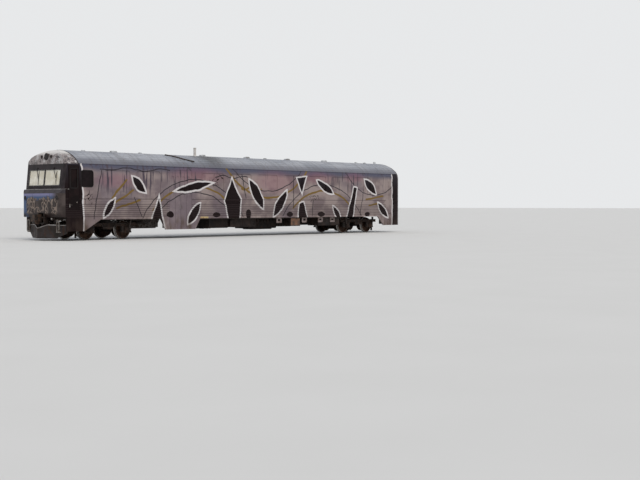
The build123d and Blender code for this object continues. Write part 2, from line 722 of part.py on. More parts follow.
with BuildPart() as cross_members:
    for x_low, x_high, foot_z in member_runs:
        box_between(x_low, x_high, -sill_inner, sill_inner, foot_z, FLOOR_UNDERSIDE)
    for pivot_x in (FRONT_PIVOT_X, REAR_PIVOT_X):
        with Locations((pivot_x, 0, BOLSTER_BOTTOM)):
            Cylinder(PIVOT_RADIUS, PIVOT_LENGTH, align=(Align.CENTER, Align.CENTER, Align.MAX))
    for slot_low, slot_high in ((COUPLER_SLOT_X, FRONT_X), (REAR_X, -COUPLER_SLOT_X)):
        box_between(
            slot_low,
            slot_high,
            -COUPLER_HALF_WIDTH,
            COUPLER_HALF_WIDTH,
            SILL_Z,
            coupler_slot_top,
            Mode.SUBTRACT,
        )
write(cross_members, "cross_members")

# Steps inside the doorways: two treads between side cheeks in front of a back plate
TREAD_THICKNESS = 30
CHEEK = 25
SECOND_TREAD_RISE = 370
tread_levels = (
    (ENTRANCE_BOTTOM - TREAD_THICKNESS, STEP_WELL_DEPTH),
    (ENTRANCE_BOTTOM + SECOND_TREAD_RISE, STEP_WELL_DEPTH / 2),
)
well_foot = ENTRANCE_BOTTOM - TREAD_THICKNESS
with BuildPart() as entrance_steps:
    for side_name, side in sides:
        for x_low, x_high in well_runs:
            for tread_z, tread_depth in tread_levels:
                tread_outer = well_inner + tread_depth
                side_box(side, x_low, x_high, well_inner, tread_outer, tread_z, tread_z + TREAD_THICKNESS)
            for cheek_x in (x_low, x_high - CHEEK):
                side_box(side, cheek_x, cheek_x + CHEEK, well_inner, inner_half, well_foot, FLOOR_TOP)
            side_box(side, x_low, x_high, well_inner, well_inner + CHEEK, well_foot, FLOOR_TOP)
write(entrance_steps, "entrance_steps")

# Inner end wall with the gangway opening
GANGWAY_HALF = 350
GANGWAY_TOP = FLOOR_TOP + 1900
DOOR_RAIL_HEIGHT = 50
END_DOOR_THICKNESS = 40
END_DOOR_LAP = 40
END_DOOR_TRAVEL = 760
DRAWBAR_HALF = 70
COUPLER_Z = FLANGE_DEPTH + 900
end_door_x = REAR_X + WALL + SWING_GAP
rail_z = GANGWAY_TOP + END_DOOR_LAP + 20
RAIL_PAST_DOOR = 10
DRAWBAR_GAP = 20
END_SKIRT_HALF = 1000
with BuildPart() as inner_end_wall:
    add(outer_form.part)
    box_between(
        REAR_X, REAR_X + WALL, -HALF_WIDTH, HALF_WIDTH, SKIRT_Z, ROOF_TOP + WALL, Mode.INTERSECT
    )
    box_between(REAR_X, REAR_X + WALL, -END_SKIRT_HALF, END_SKIRT_HALF, SKIRT_Z, SILL_Z, Mode.SUBTRACT)
    box_between(
        REAR_X, REAR_X + WALL, -GANGWAY_HALF, GANGWAY_HALF, FLOOR_TOP, GANGWAY_TOP, Mode.SUBTRACT
    )
    box_between(
        REAR_X,
        REAR_X + WALL,
        -DRAWBAR_HALF - DRAWBAR_GAP,
        DRAWBAR_HALF + DRAWBAR_GAP,
        SKIRT_Z,
        COUPLER_Z + DRAWBAR_HALF + DRAWBAR_GAP,
        Mode.SUBTRACT,
    )
    box_between(
        REAR_X + WALL,
        end_door_x + END_DOOR_THICKNESS + RAIL_PAST_DOOR,
        -GANGWAY_HALF - END_DOOR_LAP,
        GANGWAY_HALF + END_DOOR_LAP + END_DOOR_TRAVEL,
        rail_z,
        rail_z + DOOR_RAIL_HEIGHT,
    )
write(inner_end_wall, "inner_end_wall")

# Bellows half that meets the next car's: full folds and narrower creases in turn
BELLOWS_HALF = 620
BELLOWS_WALL = 90
BELLOWS_BOTTOM = FLOOR_TOP - 140
BELLOWS_TOP = GANGWAY_TOP + 190
BELLOWS_FOLDS = 5
BELLOWS_CREASE = 30
BELLOWS_OUTER_RADIUS = 120
BELLOWS_INNER_RADIUS = 60
bellows_height = BELLOWS_TOP - BELLOWS_BOTTOM
bellows_mid_z = (BELLOWS_BOTTOM + BELLOWS_TOP) / 2
half_fold = (COUPLED_LENGTH / 2 + REAR_X) / BELLOWS_FOLDS / 2
with BuildPart() as gangway_bellows:
    for step in range(2 * BELLOWS_FOLDS):
        sunk = BELLOWS_CREASE * (step % 2)
        with BuildSketch(Plane.YZ.offset(REAR_X - half_fold * step)):
            with Locations((0, bellows_mid_z)):
                RectangleRounded(
                    2 * (BELLOWS_HALF - sunk), bellows_height - 2 * sunk, BELLOWS_OUTER_RADIUS - sunk
                )
                RectangleRounded(
                    2 * (BELLOWS_HALF - BELLOWS_WALL),
                    bellows_height - 2 * BELLOWS_WALL,
                    BELLOWS_INNER_RADIUS,
                    mode=Mode.SUBTRACT,
                )
        extrude(amount=-half_fold)
write(gangway_bellows, "gangway_bellows")

# Sliding door at the inner end, hung from the rail on the wall
END_PANE_WIDTH = 450
END_PANE_HEIGHT = 900
END_PANE_RISE = 1350
with BuildPart() as gangway_door:
    box_between(
        end_door_x,
        end_door_x + END_DOOR_THICKNESS,
        -GANGWAY_HALF - END_DOOR_LAP,
        GANGWAY_HALF + END_DOOR_LAP,
        FLOOR_TOP + SWING_GAP,
        rail_z - SEAT_GAP,
    )
    for face_x_place, way_in in ((end_door_x, 1), (end_door_x + END_DOOR_THICKNESS, -1)):
        with BuildSketch(Plane.YZ.offset(face_x_place)):
            with Locations((0, FLOOR_TOP + END_PANE_RISE)):
                RectangleRounded(END_PANE_WIDTH, END_PANE_HEIGHT, WINDOW_RADIUS / 2)
        extrude(amount=way_in * PANE_RECESS, mode=Mode.SUBTRACT)
write(gangway_door, "gangway_door")

# Wheelsets: axle, two wheels with flanges, journals in the axle boxes
wheel_back = BACK_TO_BACK / 2
wheel_front = wheel_back + WHEEL_WIDTH
web_mid = wheel_back + WHEEL_WIDTH / 2
for axle_name, axle_x in zip(axle_names, axle_places):
    with BuildPart() as wheelset:
        with BuildSketch(Plane(origin=(axle_x, 0, AXLE_Z), x_dir=(0, 1, 0), z_dir=(1, 0, 0))):
            with BuildLine():
                Polyline(
                    (0, 0),
                    (JOURNAL_END, 0),
                    (JOURNAL_END, JOURNAL_RADIUS),
                    (wheel_front + HUB_OVERHANG, JOURNAL_RADIUS),
                    (wheel_front + HUB_OVERHANG, HUB_RADIUS),
                    (web_mid + WEB_THICKNESS / 2, HUB_RADIUS),
                    (web_mid + WEB_THICKNESS / 2, TREAD_RADIUS - RIM_DEPTH),
                    (wheel_front, TREAD_RADIUS - RIM_DEPTH),
                    (wheel_front, TREAD_RADIUS - TREAD_TAPER),
                    (wheel_back + FLANGE_WIDTH + FLANGE_TIP, TREAD_RADIUS),
                    (wheel_back + FLANGE_WIDTH, TREAD_RADIUS + FLANGE_FILLET),
                    (wheel_back + FLANGE_WIDTH - FLANGE_FILLET, FLANGE_RADIUS),
                    (wheel_back + FLANGE_FILLET, FLANGE_RADIUS),
                    (wheel_back, FLANGE_RADIUS - FLANGE_TIP),
                    (wheel_back, TREAD_RADIUS - RIM_DEPTH),
                    (web_mid - WEB_THICKNESS / 2, TREAD_RADIUS - RIM_DEPTH),
                    (web_mid - WEB_THICKNESS / 2, HUB_RADIUS),
                    (wheel_back - HUB_OVERHANG, HUB_RADIUS),
                    (wheel_back - HUB_OVERHANG, AXLE_RADIUS),
                    (0, AXLE_RADIUS),
                    close=True,
                )
            make_face()
        revolve(axis=Axis((axle_x, 0, AXLE_Z), (0, 1, 0)))
        mirror(about=Plane.XZ)
    write(wheelset, axle_name)

# Bogies: frame on its side beams, then the axle boxes, springs and guard irons
AXLE_BOX_HALF = 130
AXLE_BOX_INNER = 900
AXLE_BOX_OUTER = 1100
WING_HALF = 260
WING_THICKNESS = 45
COIL_RADIUS = 62
COIL_OFFSET = 190
PIVOT_CLEARANCE = 1
BEAM_DROP = 130
BEAM_DROP_MARGIN = 60
TRANSOM_DROP = 60
END_BAR_WIDTH = 70
END_BAR_INSET = 20
GUARD_THICKNESS = 30
GUARD_INNER = 700
GUARD_OUTER = 1040
GUARD_IRON_WIDTH = 100
GUARD_FOOT_Z = FLANGE_DEPTH + 70
# Columns: name, pivot along the car, way to the end that carries the guard irons
bogies = (("front", FRONT_PIVOT_X, 1), ("rear", REAR_PIVOT_X, -1))
for bogie_name, pivot_x, end_way in bogies:
    leading_end = pivot_x + end_way * BEAM_HALF_LENGTH
    with BuildPart() as bogie_frame:
        for side_name, side in sides:
            side_box(
                side,
                pivot_x - BEAM_HALF_LENGTH,
                pivot_x + BEAM_HALF_LENGTH,
                BEAM_Y - BEAM_WIDTH / 2,
                BEAM_Y + BEAM_WIDTH / 2,
                BEAM_BOTTOM,
                BEAM_TOP,
            )
            side_box(
                side,
                pivot_x - TRANSOM_HALF - BEAM_DROP_MARGIN,
                pivot_x + TRANSOM_HALF + BEAM_DROP_MARGIN,
                BEAM_Y - BEAM_WIDTH / 2,
                BEAM_Y + BEAM_WIDTH / 2,
                BEAM_BOTTOM - BEAM_DROP,
                BEAM_BOTTOM,
            )
        box_between(
            pivot_x - TRANSOM_HALF,
            pivot_x + TRANSOM_HALF,
            -BEAM_Y,
            BEAM_Y,
            BEAM_BOTTOM - TRANSOM_DROP,
            BEAM_TOP,
        )
        for end_x in (pivot_x - BEAM_HALF_LENGTH, pivot_x + BEAM_HALF_LENGTH - END_BAR_WIDTH):
            box_between(
                end_x,
                end_x + END_BAR_WIDTH,
                -BEAM_Y,
                BEAM_Y,
                BEAM_BOTTOM + END_BAR_INSET,
                BEAM_TOP - END_BAR_INSET,
            )
        with Locations((pivot_x, 0, BEAM_TOP)):
            bore_length = 2 * (BEAM_TOP - BEAM_BOTTOM + BEAM_DROP)
            Cylinder(PIVOT_RADIUS + PIVOT_CLEARANCE, bore_length, mode=Mode.SUBTRACT)
    write(bogie_frame, f"bogie_frame_{bogie_name}")

    with BuildPart() as suspension:
        for side_name, side in sides:
            for axle_x in (pivot_x - WHEELBASE / 2, pivot_x + WHEELBASE / 2):
                side_box(
                    side,
                    axle_x - AXLE_BOX_HALF,
                    axle_x + AXLE_BOX_HALF,
                    AXLE_BOX_INNER,
                    AXLE_BOX_OUTER,
                    AXLE_Z - AXLE_BOX_HALF,
                    AXLE_Z + AXLE_BOX_HALF,
                )
                side_box(
                    side,
                    axle_x - WING_HALF,
                    axle_x + WING_HALF,
                    BEAM_Y - BEAM_WIDTH / 2,
                    BEAM_Y + BEAM_WIDTH / 2,
                    AXLE_Z - AXLE_BOX_HALF,
                    AXLE_Z - AXLE_BOX_HALF + WING_THICKNESS,
                )
                with Locations((axle_x, side * BEAM_Y, AXLE_Z)):
                    Cylinder(
                        JOURNAL_RADIUS + SEAT_GAP,
                        2 * (AXLE_BOX_OUTER - AXLE_BOX_INNER),
                        rotation=(90, 0, 0),
                        mode=Mode.SUBTRACT,
                    )
                for coil_x in (axle_x - COIL_OFFSET, axle_x + COIL_OFFSET):
                    with Locations((coil_x, side * BEAM_Y, AXLE_Z - AXLE_BOX_HALF + WING_THICKNESS)):
                        Cylinder(
                            COIL_RADIUS,
                            BEAM_BOTTOM - AXLE_Z + AXLE_BOX_HALF - WING_THICKNESS,
                            align=(Align.CENTER, Align.CENTER, Align.MIN),
                        )
            with Locations((pivot_x, side * AIR_SPRING_Y, BEAM_TOP)):
                Cylinder(
                    AIR_SPRING_RADIUS,
                    BOLSTER_BOTTOM - BEAM_TOP - SEAT_GAP,
                    align=(Align.CENTER, Align.CENTER, Align.MIN),
                )
            guard_x = sorted((leading_end, leading_end + end_way * GUARD_THICKNESS))
            side_box(side, *guard_x, GUARD_INNER, GUARD_OUTER, BEAM_BOTTOM, BEAM_TOP)
            side_box(
                side, *guard_x, GUARD_INNER, GUARD_INNER + GUARD_IRON_WIDTH, GUARD_FOOT_Z, BEAM_BOTTOM
            )
    write(suspension, f"suspension_{bogie_name}")

# Underfloor gear, all hung from the cross members or the side sills
GEAR_EDGE_RADIUS = 60
# Columns: name, rear end, front end, inner side, outer side, bottom, top
gear_blocks = (
    ("engine", -2400, -500, -480, 480, 330, BOLSTER_BOTTOM),
    ("transmission", -3500, -2450, -460, 460, 400, BOLSTER_BOTTOM),
    ("radiator", 1450, 2650, -1150, 1150, 400, BOLSTER_BOTTOM),
    ("fuel_tank", -300, 1350, -1180, 1180, 430, BOLSTER_BOTTOM),
)
for gear_name, x_low, x_high, y_low, y_high, z_low, z_high in gear_blocks:
    with BuildPart() as gear:
        box_between(x_low, x_high, y_low, y_high, z_low, z_high)
        fillet(gear.edges().filter_by(Axis.X), GEAR_EDGE_RADIUS)
    write(gear, gear_name)

# Columns: rear end, front end, inner side
side_lockers = ((-6150, -4550, 620), (FRONT_X - 14000, FRONT_X - 13300, 900))
LOCKER_BOTTOM = 430
LOCKER_INSET = 40
with BuildPart() as side_boxes:
    for side_name, side in sides:
        for x_low, x_high, inner in side_lockers:
            side_box(side, x_low, x_high, inner, inner_half - LOCKER_INSET, LOCKER_BOTTOM, SILL_Z)
write(side_boxes, "side_boxes")

# Air reservoirs, each held up by two straps
RESERVOIR_RADIUS = 150
RESERVOIR_LENGTH = 1500
RESERVOIR_X = -5300
RESERVOIR_Y = 400
STRAP_HALF = 30
STRAP_MARGIN = 20
STRAP_X = (-5800, -4800)
with BuildPart() as air_reservoirs:
    for side_name, side in sides:
        centre_z = BOLSTER_BOTTOM - RESERVOIR_RADIUS
        with Locations(Location((RESERVOIR_X, side * RESERVOIR_Y, centre_z), (0, 90, 0))):
            Cylinder(RESERVOIR_RADIUS, RESERVOIR_LENGTH)
        strap_reach = RESERVOIR_RADIUS + STRAP_MARGIN
        for strap_x in STRAP_X:
            side_box(
                side,
                strap_x - STRAP_HALF,
                strap_x + STRAP_HALF,
                RESERVOIR_Y - strap_reach,
                RESERVOIR_Y + strap_reach,
                centre_z,
                BOLSTER_BOTTOM,
            )
write(air_reservoirs, "air_reservoirs")

# Lifting tabs that hang from the side sills, as distances behind the front
TAB_BEHIND = (12480, 14270, 15450, 16360)
TAB_HALF = 175
TAB_THICKNESS = 20
TAB_DROP = 260
TAB_SLOT_HALF = 90
TAB_SLOT_BOTTOM = SILL_Z - 170
TAB_SLOT_TOP = SILL_Z - 80
tab_inner = inner_half - TAB_THICKNESS
with BuildPart() as hanger_tabs:
    for side_name, side in sides:
        for behind in TAB_BEHIND:
            tab_x = FRONT_X - behind
            side_box(
                side, tab_x - TAB_HALF, tab_x + TAB_HALF, tab_inner, inner_half, SILL_Z - TAB_DROP, SILL_Z
            )
            side_box(
                side,
                tab_x - TAB_SLOT_HALF,
                tab_x + TAB_SLOT_HALF,
                tab_inner,
                inner_half,
                TAB_SLOT_BOTTOM,
                TAB_SLOT_TOP,
                Mode.SUBTRACT,
            )
write(hanger_tabs, "hanger_tabs")

# Ventilators and small covers along the roof's middle
# Columns: distance behind the front, length, width, height above the roof's crown
roof_items = (
    (2080, 180, 140, 50),
    (3650, 280, 240, 75),
    (5100, 180, 140, 50),
    (8760, 280, 240, 75),
    (11620, 280, 240, 75),
    (12880, 180, 140, 50),
    (14430, 280, 240, 75),
    (17220, 280, 240, 75),
    (19810, 180, 140, 50),
    (20530, 180, 140, 50),
    (21380, 150, 150, 120),
)
VENT_ROOT = 40
with BuildPart() as roof_vents:
    for behind, length, width, height in roof_items:
        x_mid = FRONT_X - behind
        box_between(
            x_mid - length / 2,
            x_mid + length / 2,
            -width / 2,
            width / 2,
            ROOF_TOP - VENT_ROOT,
            ROOF_TOP + height,
        )
    add(outer_form.part, mode=Mode.SUBTRACT)
write(roof_vents, "roof_vents")

# Exhaust stack beside the crown of the roof
EXHAUST_X = 2690
EXHAUST_Y = 250
EXHAUST_RADIUS = 60
EXHAUST_TOP = FLANGE_DEPTH + 4060
with BuildPart() as exhaust_stack:
    with Locations((EXHAUST_X, EXHAUST_Y, CANTRAIL_Z)):
        Cylinder(EXHAUST_RADIUS, EXHAUST_TOP - CANTRAIL_Z, align=(Align.CENTER, Align.CENTER, Align.MIN))
    add(outer_form.part, mode=Mode.SUBTRACT)
write(exhaust_stack, "exhaust_stack")

# Carrier box round the front coupler, and the pin that the coupler swings on
COUPLER_SHANK = 90
SHANK_HALF_WIDTH = 45
CARRIER_PLATE = 25
SWING_PIN_RADIUS = 45
with BuildPart() as coupler_carrier:
    box_between(
        CAB_SKIRT_FRONT_X,
        FRONT_X,
        -COUPLER_HALF_WIDTH,
        COUPLER_HALF_WIDTH,
        COUPLER_BOTTOM_Z,
        COUPLER_TOP_Z,
    )
    box_between(
        CAB_SKIRT_FRONT_X,
        FRONT_X,
        -COUPLER_HALF_WIDTH + CARRIER_PLATE,
        COUPLER_HALF_WIDTH - CARRIER_PLATE,
        COUPLER_BOTTOM_Z + CARRIER_PLATE,
        COUPLER_TOP_Z - CARRIER_PLATE,
        Mode.SUBTRACT,
    )
    add(cab_nose.part, mode=Mode.SUBTRACT)
    with Locations((COUPLER_PIVOT_X, 0, COUPLER_Z + COUPLER_SHANK / 2)):
        Cylinder(
            SWING_PIN_RADIUS,
            coupler_slot_top - COUPLER_Z - COUPLER_SHANK / 2,
            align=(Align.CENTER, Align.CENTER, Align.MIN),
        )
write(coupler_carrier, "coupler_carrier")

# Front coupler: eye on the pin, shank and head
COUPLER_EYE_RADIUS = 80
COUPLER_HEAD_X = FRONT_X + 80
COUPLER_HEAD_HALF = 150
with BuildPart() as front_coupler:
    with Locations((COUPLER_PIVOT_X, 0, COUPLER_Z)):
        Cylinder(COUPLER_EYE_RADIUS, COUPLER_SHANK - 2 * SEAT_GAP)
    shank_half = COUPLER_SHANK / 2 - 1
    box_between(
        COUPLER_PIVOT_X,
        COUPLER_HEAD_X,
        -SHANK_HALF_WIDTH,
        SHANK_HALF_WIDTH,
        COUPLER_Z - shank_half,
        COUPLER_Z + shank_half,
    )
    box_between(
        COUPLER_HEAD_X,
        coupler_face_x,
        -COUPLER_HEAD_HALF,
        COUPLER_HEAD_HALF,
        COUPLER_Z - COUPLER_HEAD_HALF,
        COUPLER_Z + COUPLER_HEAD_HALF,
    )
write(front_coupler, "front_coupler")

# Plough: two swept plates that meet at the nose, on two arms from the headstock
PLOUGH_NOSE_X = FRONT_X + 190
PLOUGH_SWEEP = 540
PLOUGH_WING_X = PLOUGH_NOSE_X - PLOUGH_SWEEP
PLOUGH_HALF = HALF_WIDTH - 110
PLOUGH_PLATE = 25
PLOUGH_ARM_INNER = 560
PLOUGH_ARM_OUTER = 640
PLOUGH_ARM_BOTTOM = 430
PLOUGH_ARM_HEIGHT = 90
PLOUGH_ARM_DEPTH = 120
PLOUGH_FOOT_HALF = 850
PLOUGH_SHOULDER_HALF = 450
PLOUGH_FOOT_Z = FLANGE_DEPTH + 70
PLOUGH_MIDDLE_TOP = FLANGE_DEPTH + 480
PLOUGH_SHOULDER_TOP = FLANGE_DEPTH + 620
PLOUGH_TIP_BOTTOM = FLANGE_DEPTH + 300
PLOUGH_TIP_TOP = FLANGE_DEPTH + 600
plough_middle_x = PLOUGH_NOSE_X - PLOUGH_PLATE / 2
plough_inner_x = plough_middle_x - PLOUGH_SWEEP * PLOUGH_ARM_INNER / PLOUGH_HALF
plough_outer_x = plough_middle_x - PLOUGH_SWEEP * PLOUGH_ARM_OUTER / PLOUGH_HALF
with BuildPart() as plough:
    with BuildSketch(Plane.XY):
        with BuildLine():
            Polyline(
                (PLOUGH_WING_X, PLOUGH_HALF),
                (PLOUGH_NOSE_X, 0),
                (PLOUGH_WING_X, -PLOUGH_HALF),
                (PLOUGH_WING_X - PLOUGH_PLATE, -PLOUGH_HALF),
                (PLOUGH_NOSE_X - PLOUGH_PLATE, 0),
                (PLOUGH_WING_X - PLOUGH_PLATE, PLOUGH_HALF),
                close=True,
            )
        make_face()
    extrude(amount=SILL_Z)
    with BuildSketch(Plane.YZ):
        with BuildLine():
            Polyline(
                (PLOUGH_FOOT_HALF, PLOUGH_FOOT_Z),
                (PLOUGH_HALF, PLOUGH_TIP_BOTTOM),
                (PLOUGH_HALF, PLOUGH_TIP_TOP),
                (PLOUGH_SHOULDER_HALF, PLOUGH_SHOULDER_TOP),
                (0, PLOUGH_MIDDLE_TOP),
                (-PLOUGH_SHOULDER_HALF, PLOUGH_SHOULDER_TOP),
                (-PLOUGH_HALF, PLOUGH_TIP_TOP),
                (-PLOUGH_HALF, PLOUGH_TIP_BOTTOM),
                (-PLOUGH_FOOT_HALF, PLOUGH_FOOT_Z),
                close=True,
            )
        make_face()
    extrude(amount=coupler_face_x, mode=Mode.INTERSECT)
    for side_name, side in sides:
        side_box(
            side,
            CAB_SKIRT_FRONT_X - PLOUGH_ARM_DEPTH,
            CAB_SKIRT_FRONT_X,
            PLOUGH_ARM_INNER,
            PLOUGH_ARM_OUTER,
            PLOUGH_ARM_BOTTOM,
            SILL_Z,
        )
    for side_name, side in sides:
        with BuildSketch(Plane.XY.offset(PLOUGH_ARM_BOTTOM)):
            with BuildLine():
                Polyline(
                    (CAB_SKIRT_FRONT_X - PLOUGH_ARM_DEPTH, side * PLOUGH_ARM_INNER),
                    (plough_inner_x, side * PLOUGH_ARM_INNER),
                    (plough_outer_x, side * PLOUGH_ARM_OUTER),
                    (CAB_SKIRT_FRONT_X - PLOUGH_ARM_DEPTH, side * PLOUGH_ARM_OUTER),
                    close=True,
                )
            make_face()
        extrude(amount=PLOUGH_ARM_HEIGHT)
write(plough, "plough")

# Corner steps: a U of flat bar under each front corner, with a tread at its foot
STEP_BAR = 40
STEP_INNER = 950
STEP_OUTER = 1130
STEP_TREAD = 35
STEP_TREAD_DEPTH = 100
STEP_FOOT_Z = FLANGE_DEPTH + 310
step_front_x = FRONT_X - 75
with BuildPart() as corner_steps:
    for side_name, side in sides:
        for bar_y in (STEP_INNER, STEP_OUTER - STEP_BAR):
            side_box(
                side, step_front_x - STEP_BAR, step_front_x, bar_y, bar_y + STEP_BAR, STEP_FOOT_Z, SILL_Z
            )
        side_box(
            side,
            step_front_x - STEP_TREAD_DEPTH,
            step_front_x,
            STEP_INNER,
            STEP_OUTER,
            STEP_FOOT_Z,
            STEP_FOOT_Z + STEP_TREAD,
        )
        side_box(
            side,
            CAB_SKIRT_FRONT_X - STEP_BAR,
            step_front_x,
            STEP_INNER,
            STEP_OUTER,
            SILL_Z - STEP_BAR,
            SILL_Z,
        )
write(corner_steps, "corner_steps")

# Cab: bulkhead with its doorway
BULKHEAD_X = FRONT_X - 1750
BULKHEAD_THICKNESS = 40
BULKHEAD_DOOR_HALF = 330
BULKHEAD_DOOR_HEIGHT = 1950
bulkhead_rear = BULKHEAD_X - BULKHEAD_THICKNESS
with BuildPart() as cab_bulkhead:
    add(inner_form.part)
    box_between(
        bulkhead_rear, BULKHEAD_X, -HALF_WIDTH, HALF_WIDTH, FLOOR_TOP, ROOF_TOP, Mode.INTERSECT
    )
    box_between(
        bulkhead_rear,
        BULKHEAD_X,
        -BULKHEAD_DOOR_HALF,
        BULKHEAD_DOOR_HALF,
        FLOOR_TOP,
        FLOOR_TOP + BULKHEAD_DOOR_HEIGHT,
        Mode.SUBTRACT,
    )
write(cab_bulkhead, "cab_bulkhead")

# Driver's desk, kept out of the reach of the cab doors
DESK_REAR_X = FRONT_X - 560
DESK_FRONT_X = FRONT_X - 290
DESK_HEIGHT = 760
DESK_SIDE_GAP = 40
cab_door_reach = CAB_DOOR_FRONT_X - CAB_DOOR_GAP - cab_hinge_x
desk_half = cab_hinge_y - sqrt(cab_door_reach**2 - (DESK_REAR_X - cab_hinge_x) ** 2) - DESK_SIDE_GAP
with BuildPart() as cab_desk:
    box_between(DESK_REAR_X, DESK_FRONT_X, -desk_half, desk_half, FLOOR_TOP, FLOOR_TOP + DESK_HEIGHT)
write(cab_desk, "cab_desk")

# Driver's seat on its column, at the right side of the cab
SEAT_X = 9500
SEAT_Y = -450
SEAT_HALF = 240
SEAT_COLUMN_RADIUS = 60
SEAT_RISE = 420
SEAT_THICKNESS = 100
SEAT_BACK_DEPTH = 90
SEAT_BACK_RISE = 1120
seat_under = FLOOR_TOP + SEAT_RISE
with BuildPart() as driver_seat:
    with Locations((SEAT_X, SEAT_Y, FLOOR_TOP)):
        Cylinder(SEAT_COLUMN_RADIUS, SEAT_RISE, align=(Align.CENTER, Align.CENTER, Align.MIN))
    box_between(
        SEAT_X - SEAT_HALF,
        SEAT_X + SEAT_HALF,
        SEAT_Y - SEAT_HALF,
        SEAT_Y + SEAT_HALF,
        seat_under,
        seat_under + SEAT_THICKNESS,
    )
    box_between(
        SEAT_X - SEAT_HALF - SEAT_BACK_DEPTH / 2,
        SEAT_X - SEAT_HALF + SEAT_BACK_DEPTH / 2,
        SEAT_Y - SEAT_HALF,
        SEAT_Y + SEAT_HALF,
        seat_under,
        FLOOR_TOP + SEAT_BACK_RISE,
    )
write(driver_seat, "driver_seat")

# Drawbar to the next car, hung from the headstock
with BuildPart() as rear_drawbar:
    box_between(
        -coupler_face_x,
        REAR_X + WALL + HEADSTOCK_DEPTH,
        -DRAWBAR_HALF,
        DRAWBAR_HALF,
        COUPLER_Z - DRAWBAR_HALF,
        COUPLER_Z + DRAWBAR_HALF,
    )
    box_between(
        REAR_X + WALL,
        REAR_X + WALL + HEADSTOCK_DEPTH,
        -DRAWBAR_HALF,
        DRAWBAR_HALF,
        COUPLER_Z + DRAWBAR_HALF,
        coupler_slot_top,
    )
write(rear_drawbar, "rear_drawbar")

# Wipers: a slanting arm and an upright blade on each pane
# Columns: arm's foot and blade, both as distances from the middle
WIPER_ARM_HALF = 10
WIPER_BLADE_HALF = 12
WIPER_FOOT_Z = FLANGE_DEPTH + 2940
WIPER_ELBOW_Z = FLANGE_DEPTH + 2520
BLADE_BOTTOM = FLANGE_DEPTH + 2240
BLADE_TOP = FLANGE_DEPTH + 2820
WIPER_STAND_OFF = 30
arm_root_x = face_x(WIPER_FOOT_Z)
arm_tip_x = face_x(BLADE_BOTTOM) + WIPER_STAND_OFF
with BuildPart() as wipers:
    for pivot_y, blade_y in ((-550, -420), (630, 840)):
        with BuildSketch(Plane.YZ.offset(arm_root_x)):
            with BuildLine():
                Polyline(
                    (pivot_y - WIPER_ARM_HALF, WIPER_FOOT_Z),
                    (pivot_y + WIPER_ARM_HALF, WIPER_FOOT_Z),
                    (blade_y + WIPER_ARM_HALF, WIPER_ELBOW_Z),
                    (blade_y - WIPER_ARM_HALF, WIPER_ELBOW_Z),
                    close=True,
                )
            make_face()
        extrude(amount=arm_tip_x - arm_root_x)
        box_between(
            face_x(BLADE_TOP),
            arm_tip_x,
            blade_y - WIPER_BLADE_HALF,
            blade_y + WIPER_BLADE_HALF,
            BLADE_BOTTOM,
            BLADE_TOP,
        )
    add(outer_form.part, mode=Mode.SUBTRACT)
write(wipers, "wipers")
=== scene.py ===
# The looks of the cab car: a diesel multiple unit's driving coach, parked and sprayed over.
# Metres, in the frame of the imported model: X forward to the cab, Y to the left side, Z up.

import math

import bmesh
import bpy
from mathutils import Matrix, Vector


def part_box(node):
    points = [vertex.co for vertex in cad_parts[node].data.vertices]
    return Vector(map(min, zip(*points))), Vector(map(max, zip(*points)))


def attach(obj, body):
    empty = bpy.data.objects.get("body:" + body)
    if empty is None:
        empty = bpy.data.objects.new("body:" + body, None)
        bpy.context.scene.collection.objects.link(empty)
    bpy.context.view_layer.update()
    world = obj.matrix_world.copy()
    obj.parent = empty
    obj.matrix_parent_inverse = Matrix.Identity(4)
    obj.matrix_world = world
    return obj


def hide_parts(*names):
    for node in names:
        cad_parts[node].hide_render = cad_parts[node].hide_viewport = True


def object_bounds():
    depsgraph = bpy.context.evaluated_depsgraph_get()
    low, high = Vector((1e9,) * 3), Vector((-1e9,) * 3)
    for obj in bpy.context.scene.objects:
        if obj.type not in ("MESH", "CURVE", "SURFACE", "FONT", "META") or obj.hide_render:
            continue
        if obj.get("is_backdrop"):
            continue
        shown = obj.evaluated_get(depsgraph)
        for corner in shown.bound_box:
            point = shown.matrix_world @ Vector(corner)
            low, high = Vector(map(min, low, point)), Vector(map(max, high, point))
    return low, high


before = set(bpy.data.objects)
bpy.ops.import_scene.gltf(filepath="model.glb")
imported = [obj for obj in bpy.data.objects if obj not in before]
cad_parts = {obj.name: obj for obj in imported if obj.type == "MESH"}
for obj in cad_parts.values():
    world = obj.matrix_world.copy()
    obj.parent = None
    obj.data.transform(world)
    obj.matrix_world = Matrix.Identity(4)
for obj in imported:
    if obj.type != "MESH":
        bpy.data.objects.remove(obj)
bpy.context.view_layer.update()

# Camera. It stands at eye height far ahead of the cab and off its left side,
# and looks along the train with a lens a little longer than normal.
CAMERA_PLACE = (36.268, 38.605, 1.419)
VIEW_TURN = math.radians(42.304)
VIEW_DROP = math.radians(1.78)
camera_data = bpy.data.cameras.new("camera")
camera_data.lens = 61.76
camera_data.sensor_width = 36
camera_data.clip_end = 1200
camera = bpy.data.objects.new("camera", camera_data)
bpy.context.scene.collection.objects.link(camera)
look = Vector((-math.cos(VIEW_TURN), -math.sin(VIEW_TURN), -math.tan(VIEW_DROP)))
camera.location = CAMERA_PLACE
camera.rotation_euler = look.to_track_quat("-Z", "Y").to_euler()
bpy.context.scene.camera = camera
bpy.context.scene.view_settings.view_transform = "Standard"


